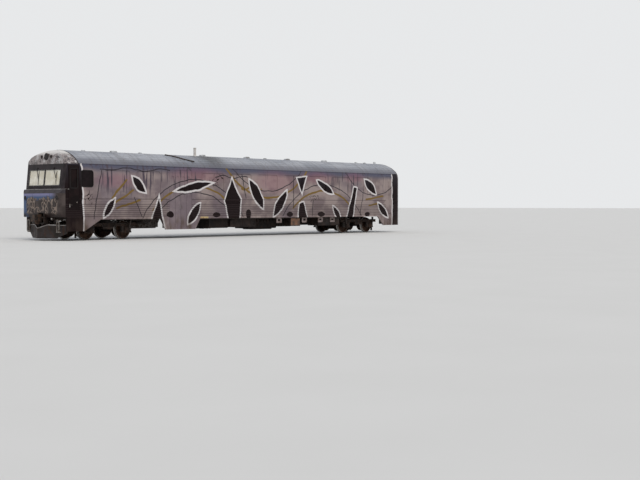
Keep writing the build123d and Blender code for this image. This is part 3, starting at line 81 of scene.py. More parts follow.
class Finish:
    """One surface finish: a Principled shader and the patterns that feed it."""

    def __init__(self, name, roughness=0.6, metallic=0.0, shine=0.5):
        self.material = bpy.data.materials.new(name)
        self.material.use_nodes = True
        self.tree = self.material.node_tree
        self.shader = self.tree.nodes["Principled BSDF"]
        self.shader.inputs["Roughness"].default_value = roughness
        self.shader.inputs["Metallic"].default_value = metallic
        self.shader.inputs["Specular IOR Level"].default_value = shine
        self.place = self.put("TexCoord", out="Object")
        self.tint = None

    def put(self, kind, sockets=None, out=0, **settings):
        """A shader node with its settings and sockets; gives back one of its outputs."""
        made = self.tree.nodes.new("ShaderNode" + kind)
        for name, value in settings.items():
            setattr(made, name, value)
        for place, value in (sockets or {}).items():
            if isinstance(value, bpy.types.NodeSocket):
                self.tree.links.new(value, made.inputs[place])
            else:
                made.inputs[place].default_value = value
        return made.outputs[out]

    def calc(self, operation, a, b=0.0, c=0.0, clamp=False):
        return self.put("Math", {0: a, 1: b, 2: c}, operation=operation, use_clamp=clamp)

    def times(self, a, b):
        return self.calc("MULTIPLY", a, b)

    def apart(self, value, middle):
        """How far a value lies from a middle one, either way."""
        return self.calc("ABSOLUTE", self.calc("SUBTRACT", value, middle))

    def vector(self, operation, a, b=(0, 0, 0), out=0):
        return self.put("VectorMath", {0: a, 1: b}, out, operation=operation)

    def axis(self, letter, of=None):
        """One coordinate of the surface, or of another vector."""
        return self.put("SeparateXYZ", {0: of or self.place}, letter)

    def noise(self, scale, stretch=(1, 1, 1), detail=4.0, shift=(0, 0, 0)):
        """Cloudy noise; a small stretch figure draws it out along that axis."""
        spot = self.put("Mapping", {0: self.place, "Location": shift, "Scale": stretch})
        return self.put("TexNoise", {"Vector": spot, "Scale": scale, "Detail": detail})

    def fade(self, value, low, high):
        """0 below low, 1 above high, and smooth between; low may be the larger."""
        sockets = {"Value": value, "From Min": low, "From Max": high}
        return self.put("MapRange", sockets, interpolation_type="SMOOTHSTEP")

    def mix(self, amount, under, over):
        """One colour laid over another by an amount from 0 to 1."""
        sockets = {0: amount}
        for place, value in ((6, under), (7, over)):
            sockets[place] = (*value, 1) if isinstance(value, tuple) else value
        return self.put("Mix", sockets, 2, data_type="RGBA")

    def colour(self, tint):
        self.tint = tint
        self.tree.links.new(tint, self.shader.inputs["Base Color"])

    def clouded(self, scale, under, over, span=None, detail=4.0, stretch=(1, 1, 1)):
        """Two colours mixed by a cloudy noise, which is given back."""
        cloud = self.noise(scale, stretch, detail)
        self.colour(self.mix(self.fade(cloud, *span) if span else cloud, under, over))
        return cloud

    def over(self, amount, colour, share=1.0):
        """Lays a colour over what is there, by an amount from 0 to 1 and a share of it."""
        if share != 1.0:
            amount = self.times(amount, share)
        self.colour(self.mix(amount, self.tint, colour))

    def patches(self, colour, share, span, scale, **look):
        """Lays a colour on in patches, where a noise runs high."""
        self.over(self.fade(self.noise(scale, **look), *span), colour, share)

    def rough(self, amount, low, high):
        """Roughness between two values, by a pattern."""
        spread = self.put("MapRange", {"Value": amount, "To Min": low, "To Max": high})
        self.tree.links.new(spread, self.shader.inputs["Roughness"])

    def bump(self, height, distance, strength=1.0):
        made = self.put("Bump", {"Strength": strength, "Distance": distance, "Height": height})
        self.tree.links.new(made, self.shader.inputs["Normal"])

    def grain(self, scale, distance, strength):
        self.bump(self.noise(scale), distance, strength)


def coat(finish, *nodes):
    """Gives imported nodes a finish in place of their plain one."""
    for name in nodes:
        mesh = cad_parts[name].data
        mesh.materials.clear()
        mesh.materials.append(finish.material)


# Floor and light: a pale studio floor, one broad lamp high on the camera's side
# and an even pale surround.
FLOOR_HALF = 600
SKY_SHADE = (0.52, 0.56, 0.62, 1)
SKY_SEEN = (0.80, 0.81, 0.82, 1)
floor_finish = Finish("studio_floor", 0.9)
floor_finish.clouded(0.6, (0.60, 0.585, 0.56), (0.64, 0.625, 0.60))
bm = bmesh.new()
bmesh.ops.create_grid(bm, x_segments=2, y_segments=2, size=FLOOR_HALF)
floor_mesh = bpy.data.meshes.new("studio_floor")
bm.to_mesh(floor_mesh)
bm.free()
floor_mesh.materials.append(floor_finish.material)
studio_floor = bpy.data.objects.new("studio_floor", floor_mesh)
bpy.context.scene.collection.objects.link(studio_floor)
studio_floor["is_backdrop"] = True

lamp_data = bpy.data.lights.new("sky_panel", "SUN")
lamp_data.energy = 1.9
lamp_data.angle = math.radians(40)
lamp_data.color = (1.0, 0.97, 0.93)
sky_panel = bpy.data.objects.new("sky_panel", lamp_data)
sky_panel.rotation_euler = Vector((-0.30, -0.75, -0.95)).to_track_quat("-Z", "Y").to_euler()
bpy.context.scene.collection.objects.link(sky_panel)

world = bpy.data.worlds.new("surround")
world.use_nodes = True
bpy.context.scene.world = world
sky = world.node_tree
light_path = sky.nodes.new("ShaderNodeLightPath")
seen = light_path.outputs["Is Camera Ray"]
for ray in ("Is Glossy Ray", "Is Transmission Ray"):
    either = sky.nodes.new("ShaderNodeMath")
    either.operation = "MAXIMUM"
    sky.links.new(seen, either.inputs[0])
    sky.links.new(light_path.outputs[ray], either.inputs[1])
    seen = either.outputs[0]
backdrop = sky.nodes.new("ShaderNodeMix")
backdrop.data_type = "RGBA"
backdrop.inputs[6].default_value = SKY_SHADE
backdrop.inputs[7].default_value = SKY_SEEN
sky.links.new(seen, backdrop.inputs[0])
sky.links.new(backdrop.outputs[2], sky.nodes["Background"].inputs["Color"])

# Side walls and doors. Painted steel, fluted below the windows, sprayed over from end to end:
# silver ground with black leaves and kites in white rims, thin black lines, ochre strokes and haze.
# The tables are in metres behind the front plane and above the rail.
RAIL_Z = 0.028
front_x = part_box("cab_nose")[1].x
rear_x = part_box("inner_end_wall")[0].x
half_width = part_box("side_rear_left")[1].y
SILVER = (0.178, 0.136, 0.136)
SILVER_LIGHT = (0.290, 0.232, 0.216)
BLUE_GREY = (0.078, 0.078, 0.110)
BLACK_PAINT = (0.006, 0.0015, 0.0018)
CAB_BLACK = (0.016, 0.012, 0.016)
WHITE_RIM = (0.60, 0.56, 0.55)
PAINT_SIDES = {
    "left": {"ochre": (0.17, 0.105, 0.03), "haze": (0.26, 0.095, 0.13), "way": -1, "start": front_x},
    "right": {"ochre": (0.05, 0.13, 0.14), "haze": (0.13, 0.22, 0.36), "way": 1, "start": -rear_x},
}
# Black fields, as corners of convex shapes
black_fields = (
    ((4.42, 0.30), (5.30, 0.30), (4.98, 1.72)),
    ((8.86, 1.62), (9.24, 0.30), (9.72, 0.30), (9.86, 1.70), (9.30, 2.62)),
    ((13.72, 0.30), (14.55, 0.30), (14.12, 1.55), (13.86, 1.50)),
    ((13.70, 2.75), (14.32, 2.80), (14.02, 2.05)),
    ((17.25, 0.30), (17.72, 0.30), (18.20, 2.30), (17.98, 2.36)),
)
# Black leaves from tip to tip, with their half width
leaves = (
    ((2.10, 0.95), (2.62, 1.66), 0.13),
    ((3.55, 2.62), (4.25, 1.95), 0.16),
    ((5.95, 2.05), (8.05, 2.42), 0.14),
    ((6.65, 0.62), (7.35, 1.48), 0.20),
    ((10.45, 2.60), (11.35, 1.30), 0.24),
    ((12.05, 0.92), (12.95, 2.10), 0.22),
    ((15.15, 2.62), (16.35, 2.02), 0.17),
    ((16.35, 1.35), (16.95, 0.62), 0.14),
    ((18.85, 2.78), (19.75, 2.02), 0.19),
    ((19.95, 1.52), (20.75, 0.80), 0.17),
)
# Black blobs: centre, then half width and half height
blobs = (
    ((5.62, 1.02), (0.20, 0.15)),
    ((8.35, 0.98), (0.24, 0.12)),
    ((10.35, 0.99), (0.17, 0.24)),
    ((13.15, 0.97), (0.22, 0.13)),
    ((15.45, 0.98), (0.26, 0.12)),
    ((19.05, 0.97), (0.22, 0.12)),
)
# Shallow arcs, hills and hollows: centre, radius, and the height below which none is drawn
line_arcs = (
    ((7.05, -0.90), 2.90, 0.9),
    ((7.05, -0.90), 3.45, 0.9),
    ((11.70, 5.20), 3.10, 0.9),
    ((15.60, -1.10), 3.55, 0.9),
    ((19.60, 4.70), 2.75, 0.9),
)
ochre_arcs = (
    ((7.05, -0.90), 3.18, 1.20),
    ((11.70, 5.20), 3.42, 1.20),
    ((15.60, -1.10), 3.25, 1.30),
)
# Straight strokes from point to point
line_bars = (
    ((1.55, 0.84), (1.95, 2.85)),
    ((4.05, 0.95), (3.65, 1.75)),
    ((9.95, 2.85), (10.20, 1.75)),
    ((13.40, 1.30), (13.45, 2.85)),
    ((14.75, 0.90), (14.85, 1.65)),
    ((18.45, 0.90), (18.75, 2.25)),
)
ochre_bars = (
    ((2.75, 1.28), (3.95, 1.62)),
    ((2.62, 1.50), (3.60, 2.06)),
    ((2.50, 1.72), (3.25, 2.46)),
    ((18.95, 1.72), (20.35, 1.90)),
    ((19.20, 1.42), (20.15, 1.52)),
)
# Waves along the side: from, to, height, swing, length of one wave
line_waves = ((1.9, 5.6, 2.92, 0.05, 1.9), (8.3, 10.3, 2.72, 0.06, 1.3))
ochre_waves = ((9.95, 11.2, 2.20, 0.07, 0.9),)
# Haze and scribbles: centre, then half width and half height
haze_spots = (
    ((2.75, 2.45), (1.0, 0.30)),
    ((7.2, 2.75), (1.5, 0.35)),
    ((12.1, 2.55), (1.3, 0.5)),
    ((15.2, 2.8), (1.2, 0.3)),
    ((18.0, 2.85), (0.8, 0.25)),
)
scribble_spots = (
    ((1.32, 1.72), (0.22, 0.34)),
    ((8.35, 2.55), (0.42, 0.30)),
    ((14.9, 1.75), (0.42, 0.20)),
    ((20.85, 0.95), (0.16, 0.40)),
)
FRONT_EDGE_LOW = (1.05, 0.38)
FRONT_EDGE_HIGH = (0.95, 2.90)
REAR_EDGE = 21.18
HAZE_SHARE = 0.35
# Flutes: height of the lowest groove, pitch and the span that they fill, then the moulding over them
FLUTE_FIRST = 0.975
FLUTE_PITCH = 0.083
FLUTE_SPAN = (0.94, 1.51)
MOULDING_Z = 1.70
PLAIN_RUNS = ((3.925, 5.175), (-10.492, -9.865))


def join(finish, operation, parts):
    """Runs a two-way operation such as MINIMUM through a list, one after another."""
    whole = parts[0]
    for part in parts[1:]:
        whole = finish.calc(operation, whole, part)
    return whole


def across_edge(finish, spot, start, end):
    """How far a spot lies to the right of a straight edge, seen along it."""
    run = Vector((end[0] - start[0], 0, end[1] - start[1])).normalized()
    out = Vector((run.z, 0, -run.x))
    offset = out.dot(Vector((start[0], 0, start[1])))
    return finish.calc("SUBTRACT", finish.vector("DOT_PRODUCT", spot, out, 1), offset)


def outside_field(finish, spot, corners):
    """How far a spot lies outside a convex shape, below 0 inside it."""
    pairs = list(zip(corners, corners[1:] + corners[:1]))
    turn = sum(a[0] * b[1] - b[0] * a[1] for a, b in pairs)
    if turn < 0:
        pairs = [(b, a) for a, b in pairs]
    return join(finish, "MAXIMUM", [across_edge(finish, spot, a, b) for a, b in pairs])


def from_disc(finish, spot, centre, radius):
    centre = (centre[0], 0, centre[1])
    return finish.calc("SUBTRACT", finish.vector("DISTANCE", spot, centre, 1), radius)


def from_leaf(finish, spot, tip, other, half):
    """How far a spot lies outside a pointed leaf, which is where two discs overlap."""
    run = Vector(other) - Vector(tip)
    radius = (run.length_squared / 4 + half**2) / (2 * half)
    middle = (Vector(tip) + Vector(other)) / 2
    off = Vector((-run.y, run.x)).normalized() * (radius - half)
    discs = [from_disc(finish, spot, middle + off, radius), from_disc(finish, spot, middle - off, radius)]
    return join(finish, "MAXIMUM", discs)


def from_blob(finish, spot, centre, half):
    """About how far a spot lies outside an oval."""
    off = finish.vector("SUBTRACT", spot, (centre[0], 0, centre[1]))
    share = finish.vector("MULTIPLY", off, (1 / half[0], 0, 1 / half[1]))
    length = finish.put("VectorMath", {0: share}, 1, operation="LENGTH")
    return finish.calc("MULTIPLY_ADD", length, min(half), -min(half))


def from_arc(finish, spot, height, centre, radius, foot):
    """How far a spot lies from an arc that ends at a height."""
    ring = finish.calc("ABSOLUTE", from_disc(finish, spot, centre, radius))
    return finish.calc("MAXIMUM", ring, finish.calc("SUBTRACT", foot, height))


def from_bar(finish, spot, start, end):
    """How far a spot lies from a straight stroke."""
    begin = Vector((start[0], 0, start[1]))
    run = Vector((end[0], 0, end[1])) - begin
    off = finish.vector("SUBTRACT", spot, begin)
    share = finish.vector("DOT_PRODUCT", off, run / run.length_squared, 1)
    share = finish.calc("ADD", share, 0.0, clamp=True)
    foot = finish.put("VectorMath", {0: run, "Scale": share}, operation="SCALE")
    return finish.vector("DISTANCE", off, foot, 1)


def from_wave(finish, along, height, start, end, middle, swing, length):
    """How far a spot lies from a wavy stroke."""
    angle = finish.times(along, 2 * math.pi / length)
    off = finish.calc("SUBTRACT", height, middle)
    off = finish.calc("ABSOLUTE", finish.calc("MULTIPLY_ADD", finish.calc("SINE", angle), swing, off))
    past = finish.apart(along, (start + end) / 2)
    return finish.calc("MAXIMUM", off, finish.calc("SUBTRACT", past, (end - start) / 2))


side_paints = {}
for side_name, look_of in PAINT_SIDES.items():
    paint = Finish(f"sprayed_side_{side_name}", 0.5, shine=0.12)
    whole = paint.axis("X")
    level = paint.axis("Z")
    along = paint.calc("MULTIPLY_ADD", whole, look_of["way"], look_of["start"])
    spot = paint.put("CombineXYZ", {"X": along, "Z": paint.calc("SUBTRACT", level, RAIL_Z)})
    sway = paint.put("TexNoise", {"Vector": spot, "Scale": 1.7, "Detail": 3.0}, 1)
    sway = paint.vector("MULTIPLY", paint.vector("SUBTRACT", sway, (0.5, 0.5, 0.5)), (0.16, 0, 0.16))
    spot = paint.vector("ADD", spot, sway)
    along = paint.axis("X", spot)
    up = paint.axis("Z", spot)

    # Silver ground, blue-grey up by the roof, with clouds, haze and drips
    paint.clouded(1.1, SILVER, SILVER_LIGHT, (0.38, 0.62), stretch=(1, 1, 1.6))
    patch = paint.noise(0.45, (1, 1, 0.7), shift=(3, 0, 1))
    paint.over(paint.fade(patch, 0.5, 0.66), (0.15, 0.12, 0.145), 0.5)
    paint.over(paint.fade(up, 2.72, 3.02), BLUE_GREY)
    for centre, half in haze_spots:
        soft = paint.fade(from_blob(paint, spot, centre, half), min(half) * 0.5, -min(half) * 0.6)
        paint.over(soft, look_of["haze"], HAZE_SHARE)
    drip = paint.fade(paint.noise(9.0, (1, 1, 0.07), 6.0), 0.565, 0.61)
    drip_height = paint.times(paint.fade(up, 1.5, 2.5), paint.fade(patch, 0.40, 0.55))
    paint.over(drip, (0.07, 0.055, 0.07), drip_height)

    # Ochre strokes, then thin black lines
    for arcs, bars, waves, outer, inner, tint in (
        (ochre_arcs, ochre_bars, ochre_waves, 0.055, 0.035, look_of["ochre"]),
        (line_arcs, line_bars, line_waves, 0.028, 0.014, (0.03, 0.025, 0.03)),
    ):
        strokes = [from_arc(paint, spot, up, *arc) for arc in arcs]
        strokes += [from_bar(paint, spot, *bar) for bar in bars]
        strokes += [from_wave(paint, along, up, *wave) for wave in waves]
        paint.over(paint.fade(join(paint, "MINIMUM", strokes), outer, inner), tint)

    # Scribbles: the thin contours of a noise, only in a few small places
    curl = paint.fade(paint.apart(paint.noise(3.4, detail=1.0), 0.5), 0.022, 0.012)
    near = join(paint, "MINIMUM", [from_blob(paint, spot, *oval) for oval in scribble_spots])
    paint.over(curl, BLACK_PAINT, paint.fade(near, 0.03, -0.03))

    # Black fields and leaves with a white rim round each, and the dark ends of the painting
    fields = [outside_field(paint, spot, corners) for corners in black_fields]
    fields += [from_leaf(paint, spot, *leaf) for leaf in leaves]
    fields.append(across_edge(paint, spot, FRONT_EDGE_LOW, FRONT_EDGE_HIGH))
    fields.append(paint.calc("SUBTRACT", REAR_EDGE, along))
    black = join(paint, "MINIMUM", fields)
    paint.over(paint.fade(black, 0.085, 0.065), WHITE_RIM)
    ovals = join(paint, "MINIMUM", [from_blob(paint, spot, *oval) for oval in blobs])
    black = paint.calc("MINIMUM", black, ovals)
    pitch_black = paint.mix(paint.fade(up, 2.1, 2.9), BLACK_PAINT, CAB_BLACK)
    paint.over(paint.fade(black, 0.008, -0.008), pitch_black)

    # Road grime along the sill, thinner on the black
    grime = paint.noise(5.0, (1, 1, 0.25), 6.0, (1, 2, 3))
    low_down = paint.times(paint.fade(up, 1.15, 0.5), paint.fade(grime, 0.35, 0.7))
    on_silver = paint.calc("MULTIPLY_ADD", paint.fade(black, -0.01, 0.01), 0.75, 0.25)
    paint.over(low_down, (0.085, 0.058, 0.044), on_silver)

    # Flutes pressed in the sheet below the waist, but not in the doors; each groove is also darkened in
    # colour as painted shade
    turn = paint.calc("MULTIPLY_ADD", level, 1 / FLUTE_PITCH, 0.5 - FLUTE_FIRST / FLUTE_PITCH)
    off = paint.times(paint.apart(paint.calc("FRACT", turn), 0.5), FLUTE_PITCH)
    past = paint.apart(level, sum(FLUTE_SPAN) / 2)
    past = paint.calc("SUBTRACT", past, (FLUTE_SPAN[1] - FLUTE_SPAN[0]) / 2)
    off = paint.calc("MAXIMUM", off, past)
    off = paint.calc("MINIMUM", off, paint.apart(level, MOULDING_Z))
    for start, end in PLAIN_RUNS:
        inside = paint.apart(whole, (start + end) / 2)
        off = paint.calc("MAXIMUM", off, paint.calc("SUBTRACT", (end - start) / 2 + 0.03, inside))
    flute_and_painted_shade = paint.fade(off, 0.020, 0.008)
    # Painted shade: the colour darkens along each flute groove.
    paint.over(flute_and_painted_shade, (0.030, 0.020, 0.020), 0.62)
    paint.rough(grime, 0.38, 0.62)
    grain = paint.calc("MULTIPLY_ADD", paint.noise(60.0, detail=3.0), 0.1, paint.times(flute_and_painted_shade, -1.0))
    paint.bump(grain, 0.006, 0.6)
    side_paints[side_name] = paint
    coat(paint, f"side_front_{side_name}", f"side_rear_{side_name}")
    for set_name in ("front", "rear", "end"):
        coat(paint, f"door_{set_name}_leaf_{side_name}", f"door_{set_name}_free_leaf_{side_name}")

# Fixed panes. Toughened glass in rubber, nine a side sprayed over with the rest of the side
# and a small dark one left clear behind each cab door.
CAB_PANE_REAR = 9.0
dark_glass = Finish("dark_glass", 0.08, shine=0.12)
dark_glass.clouded(3.0, (0.004, 0.0015, 0.0018), (0.010, 0.005, 0.006), (0.4, 0.7))
coat(side_paints["left"], "side_glass")
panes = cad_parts["side_glass"].data
for finish in (side_paints["right"], dark_glass):
    panes.materials.append(finish.material)
for face in panes.polygons:
    if face.center.x > CAB_PANE_REAR:
        face.material_index = 2
    elif face.center.y < 0:
        face.material_index = 1


def row(start, pitch, count):
    """Places at one pitch."""
    return [start + pitch * step for step in range(count)]


# Window seals. Rubber profiles pressed round each fixed pane and each pane in the folding leaves,
# sprayed over with the side; each is one moulding swept round its window.
PANE_PLACES = [6.35, 8.0] + row(2.64, -1.75, 7)
PANE_SIZE = (1.35, 0.93)
PANE_MIDDLE = 2.443
PANE_CORNER = 0.11
CAB_PANE_PLACE = (9.52, 2.528)
CAB_PANE_SIZE = (0.6, 0.68)
SEAL_SECTION = (
    (-0.014, -0.0135),
    (-0.001, -0.0135),
    (-0.001, 0.0003),
    (0.014, 0.0003),
    (0.012, 0.0035),
    (-0.008, 0.005),
    (-0.014, 0.002),
)
# Folding leaves: set, then where the jamb axis, the fold and the free edge lie
LEAF_SETS = (
    ("front", 5.175, 4.8665, 4.558),
    ("rear", 3.925, 4.2335, 4.542),
    ("end", -9.865, -10.1785, -10.492),
)
LEAF_PANE_MARGIN = 0.14
LEAF_PANE_HEIGHT = 0.95
LEAF_PANE_MIDDLE = 2.253
LEAF_PANE_CORNER = 0.055
SIDES = (("left", 1), ("right", -1))
UP = Vector((0, 0, 1))
SHARP_ANGLE = math.radians(32)


def skin(bm, rings, joined=False):
    """Walls between rings of points, with a cap at each end or the last ring joined to the first."""
    rows = [[bm.verts.new(point) for point in ring] for ring in rings]
    following = rows[1:] + rows[:1] if joined else rows[1:]
    for one, other in zip(rows, following):
        for place in range(len(one)):
            bm.faces.new((one[place - 1], one[place], other[place], other[place - 1]))
    if not joined:
        bm.faces.new(rows[0])
        bm.faces.new(list(reversed(rows[-1])))


def round_corners(size, corner, steps):
    """Points (a, b) round a rectangle with round corners, each with its way outwards."""
    points = []
    for quarter, (way_a, way_b) in enumerate(((1, 1), (-1, 1), (-1, -1), (1, -1))):
        middle = Vector((way_a * (size[0] / 2 - corner), way_b * (size[1] / 2 - corner)))
        for step in range(steps + 1):
            turn = (quarter + step / steps) * math.pi / 2
            out = Vector((math.cos(turn), math.sin(turn)))
            points.append((middle + out * corner, out))
    return points


def rim(bm, centre, across, up, size, corner, section):
    """A moulding round a rectangle with round corners; the section's points are
    (outwards in the plane, off the plane)."""
    plane = Matrix((across, up, Vector(across).cross(up))).transposed()
    rings = []
    for point, out in round_corners(size, corner, 6):
        spots = [Vector((*(point + out * wide), proud)) for wide, proud in section]
        rings.append([Vector(centre) + plane @ spot for spot in spots])
    skin(bm, rings, joined=True)


def window_rim(bm, side, along, height, size, corner):
    """A rubber seal round a window in a side wall."""
    rim(bm, (along, side * half_width, height), (-side, 0, 0), UP, size, corner, SEAL_SECTION)


def piece(name, bm, finish, body="car"):
    """Makes the mesh an object with a finish, smooth but for its edges, that rides on a body."""
    bmesh.ops.recalc_face_normals(bm, faces=bm.faces[:])
    mesh = bpy.data.meshes.new(name)
    bm.to_mesh(mesh)
    bm.free()
    mesh.shade_smooth()
    mesh.set_sharp_from_angle(angle=SHARP_ANGLE)
    mesh.materials.append(finish.material)
    made = bpy.data.objects.new(name, mesh)
    bpy.context.scene.collection.objects.link(made)
    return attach(made, body)


black_rubber = Finish("black_rubber", 0.75, shine=0.25)
black_rubber.clouded(14.0, (0.006, 0.005, 0.005), (0.018, 0.015, 0.014))
black_rubber.grain(90.0, 0.0006, 0.5)
for side_name, side in SIDES:
    bm = bmesh.new()
    for place in PANE_PLACES:
        window_rim(bm, side, place, PANE_MIDDLE, PANE_SIZE, PANE_CORNER)
    piece(f"window_seals_{side_name}", bm, side_paints[side_name])
    bm = bmesh.new()
    window_rim(bm, side, *CAB_PANE_PLACE, CAB_PANE_SIZE, PANE_CORNER)
    piece(f"cab_window_seal_{side_name}", bm, black_rubber)
    for set_name, jamb, fold, free in LEAF_SETS:
        for start, end, leaf in ((jamb, fold, "leaf"), (fold, free, "free_leaf")):
            bm = bmesh.new()
            size = (abs(end - start) - LEAF_PANE_MARGIN, LEAF_PANE_HEIGHT)
            window_rim(bm, side, (start + end) / 2, LEAF_PANE_MIDDLE, size, LEAF_PANE_CORNER)
            body = f"{leaf}_{set_name}_{side_name}"
            piece(f"{body}_seal", bm, side_paints[side_name], body)

# Door fittings. Rubber lips close the gap between the leaves, a pull bar sits low on each free leaf,
# and a push button stands on the wall beside each doorway; pressed and cast parts, screwed on.
LIP_WIDTH = 0.007
LIP_SPAN = (0.52, 2.90)
PULL_SPAN = (1.30, 1.46)
PULL_STAND = 0.016
PULL_RADIUS = 0.006
PULL_FOOT = ((0, 0.011), (0.003, 0.011), (0.005, PULL_RADIUS), (PULL_STAND, PULL_RADIUS))
BUTTON_PLACES = (5.32, 3.78, -9.72)
BUTTON_Z = 1.70
BUTTON = ((0, 0.030), (0.004, 0.030), (0.006, 0.024), (0.010, 0.020), (0.012, 0.010))
LET_IN = 0.001


def compass(count):
    """Pairs (cosine, sine) once round a circle."""
    turns = [2 * math.pi * step / count for step in range(count)]
    return [(math.cos(turn), math.sin(turn)) for turn in turns]


def ring_at(centre, across, up, radius, count=12):
    """Points on a circle round a centre, in the plane of two directions."""
    return [centre + across * radius * a + up * radius * b for a, b in compass(count)]


def square_to(way):
    """Two directions square to a way and to each other."""
    way = Vector(way).normalized()
    across = way.cross(UP)
    if across.length < 0.1:
        across = way.cross(Vector((1, 0, 0)))
    across.normalize()
    return across, across.cross(way)


def turned(bm, foot, way, profile, count=20):
    """A turned shape along a way, from (distance, radius) pairs; its ends are flat."""
    foot, way = Vector(foot), Vector(way).normalized()
    across, up = square_to(way)
    skin(bm, [ring_at(foot + way * run, across, up, radius, count) for run, radius in profile])


def rod(bm, start, end, radius, count=10):
    """A round bar between two points with chamfered ends."""
    run = Vector(end) - Vector(start)
    nip = radius * 0.2
    profile = ((0, radius - nip), (nip, radius), (run.length - nip, radius), (run.length, radius - nip))
    turned(bm, start, run, profile, count)


def block(bm, middle, size, edge, steps=2):
    """A block round a middle point with rounded edges."""
    move = Matrix.LocRotScale(Vector(middle), None, Vector(size))
    made = bmesh.ops.create_cube(bm, size=1, matrix=move)
    edges = list(dict.fromkeys(edge_of for vert in made["verts"] for edge_of in vert.link_edges))
    bmesh.ops.bevel(
        bm, geom=edges, offset=edge, segments=steps, profile=0.5, affect="EDGES", material=-1
    )


def upright(bm, place, size, span, edge):
    """A block that reaches from one height to another."""
    middle = (*place, (span[0] + span[1]) / 2)
    block(bm, middle, (*size, span[1] - span[0]), edge)


def wall_plate(bm, side, place, size, proud, edge):
    """A plate let into a side wall, at (along, height), that stands proud of it."""
    thick = proud + LET_IN
    middle = (place[0], side * (half_width + proud - thick / 2), place[1])
    block(bm, middle, (size[0], thick, size[1]), edge)


worn_steel = Finish("worn_steel", 0.38, 0.8)
worn_steel.clouded(7.0, (0.32, 0.31, 0.30), (0.14, 0.11, 0.09), (0.4, 0.65))
for side_name, side in SIDES:
    outer = side * half_width
    for set_name, jamb, fold, free in LEAF_SETS:
        way = 1 if free < jamb else -1
        body = f"free_leaf_{set_name}_{side_name}"
        bm = bmesh.new()
        lip = (free - way * LIP_WIDTH / 2, side * (half_width - 0.022))
        upright(bm, lip, (LIP_WIDTH, 0.028), LIP_SPAN, 0.003)
        piece(f"{body}_lip", bm, black_rubber, body)
        bm = bmesh.new()
        pull = free + way * 0.05
        for height in PULL_SPAN:
            turned(bm, (pull, outer, height), (0, side, 0), PULL_FOOT, 12)
        grip = outer + side * PULL_STAND
        rod(bm, (pull, grip, PULL_SPAN[0] - 0.012), (pull, grip, PULL_SPAN[1] + 0.012), PULL_RADIUS)
        piece(f"{body}_pull", bm, worn_steel, body)
    bm = bmesh.new()
    for place in BUTTON_PLACES:
        wall_plate(bm, side, (place, BUTTON_Z), (0.09, 0.14), 0.008, 0.003)
        turned(bm, (place, outer + side * 0.007, BUTTON_Z), (0, side, 0), BUTTON)
    piece(f"door_buttons_{side_name}", bm, side_paints[side_name])

# Side trims. A rain gutter over the wall's top edge, a half-round belt moulding under the windows,
# and pressed flaps with screws on the skirts; rolled and pressed steel, painted with the wall.
GUTTER_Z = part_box("roof_panel")[0].z
GUTTER_SECTION = (
    (1.377, -0.010),
    (1.392, -0.010),
    (1.402, 0.000),
    (1.402, 0.014),
    (1.398, 0.014),
    (1.395, 0.005),
    (1.377, 0.005),
)
BELT_Z = 1.748
BELT_RUNS = ((-10.80, -10.56), (-9.78, 3.84), (5.26, 9.58))
BELT_TURNS = (-1.57, -0.8, 0, 0.8, 1.57)
# Flaps: middle and height, then length and rise
FLAPS = ((10.14, 0.62, 0.32, 0.32), (5.31, 0.63, 0.10, 0.34), (3.79, 0.63, 0.10, 0.34))
FLAP_SCREW = ((0, 0.009), (0.003, 0.008), (0.005, 0.004))
SCREW_INSET = 0.02
# Hatches along the side below the windows: middle and width, at one height and rise
HATCHES = ((7.60, 0.52), (1.15, 0.62), (-3.40, 0.52), (-8.30, 0.46))
HATCH_Z, HATCH_RISE = 0.9125, 0.085
# A blank yellow label on the lower edge beside the wide doorway
LABEL_PLACE = (3.17, 0.902)
LABEL_SIZE = (0.48, 0.072)
label_yellow = Finish("label_yellow", 0.6)
label_yellow.clouded(14.0, (0.44, 0.33, 0.15), (0.30, 0.17, 0.08), (0.45, 0.68), 6.0)


def prism(bm, outline, way):
    """A bar of one cross section along a way."""
    way = Vector(way)
    skin(bm, [[Vector(point) for point in outline], [Vector(point) + way for point in outline]])


for side_name, side in SIDES:
    bm = bmesh.new()
    outline = [(rear_x + 0.07, side * wide, GUTTER_Z + rise) for wide, rise in GUTTER_SECTION]
    prism(bm, outline, (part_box("roof_panel")[1].x - rear_x - 0.08, 0, 0))
    piece(f"rain_gutter_{side_name}", bm, side_paints[side_name])
    bm = bmesh.new()
    bulge = [(0.008 * math.cos(turn), 0.011 * math.sin(turn)) for turn in BELT_TURNS]
    bulge.append((-0.002, 0.0))
    for start, end in BELT_RUNS:
        outline = [(start, side * (half_width + out), BELT_Z + rise) for out, rise in bulge]
        prism(bm, outline, (end - start, 0, 0))
    piece(f"belt_moulding_{side_name}", bm, side_paints[side_name])
    bm = bmesh.new()
    for along, height, length, rise in FLAPS:
        wall_plate(bm, side, (along, height), (length, rise), 0.003, 0.0015)
        for off_x in (SCREW_INSET - length / 2, length / 2 - SCREW_INSET):
            for off_z in (SCREW_INSET - rise / 2, rise / 2 - SCREW_INSET):
                foot = (along + off_x, side * (half_width + 0.003), height + off_z)
                turned(bm, foot, (0, side, 0), FLAP_SCREW, 6)
    for middle, width in HATCHES:
        wall_plate(bm, side, (middle, HATCH_Z), (width, HATCH_RISE), 0.004, 0.0015)
    piece(f"skirt_flaps_{side_name}", bm, side_paints[side_name])
    bm = bmesh.new()
    wall_plate(bm, side, LABEL_PLACE, LABEL_SIZE, 0.002, 0.0005)
    piece(f"blank_label_{side_name}", bm, label_yellow)
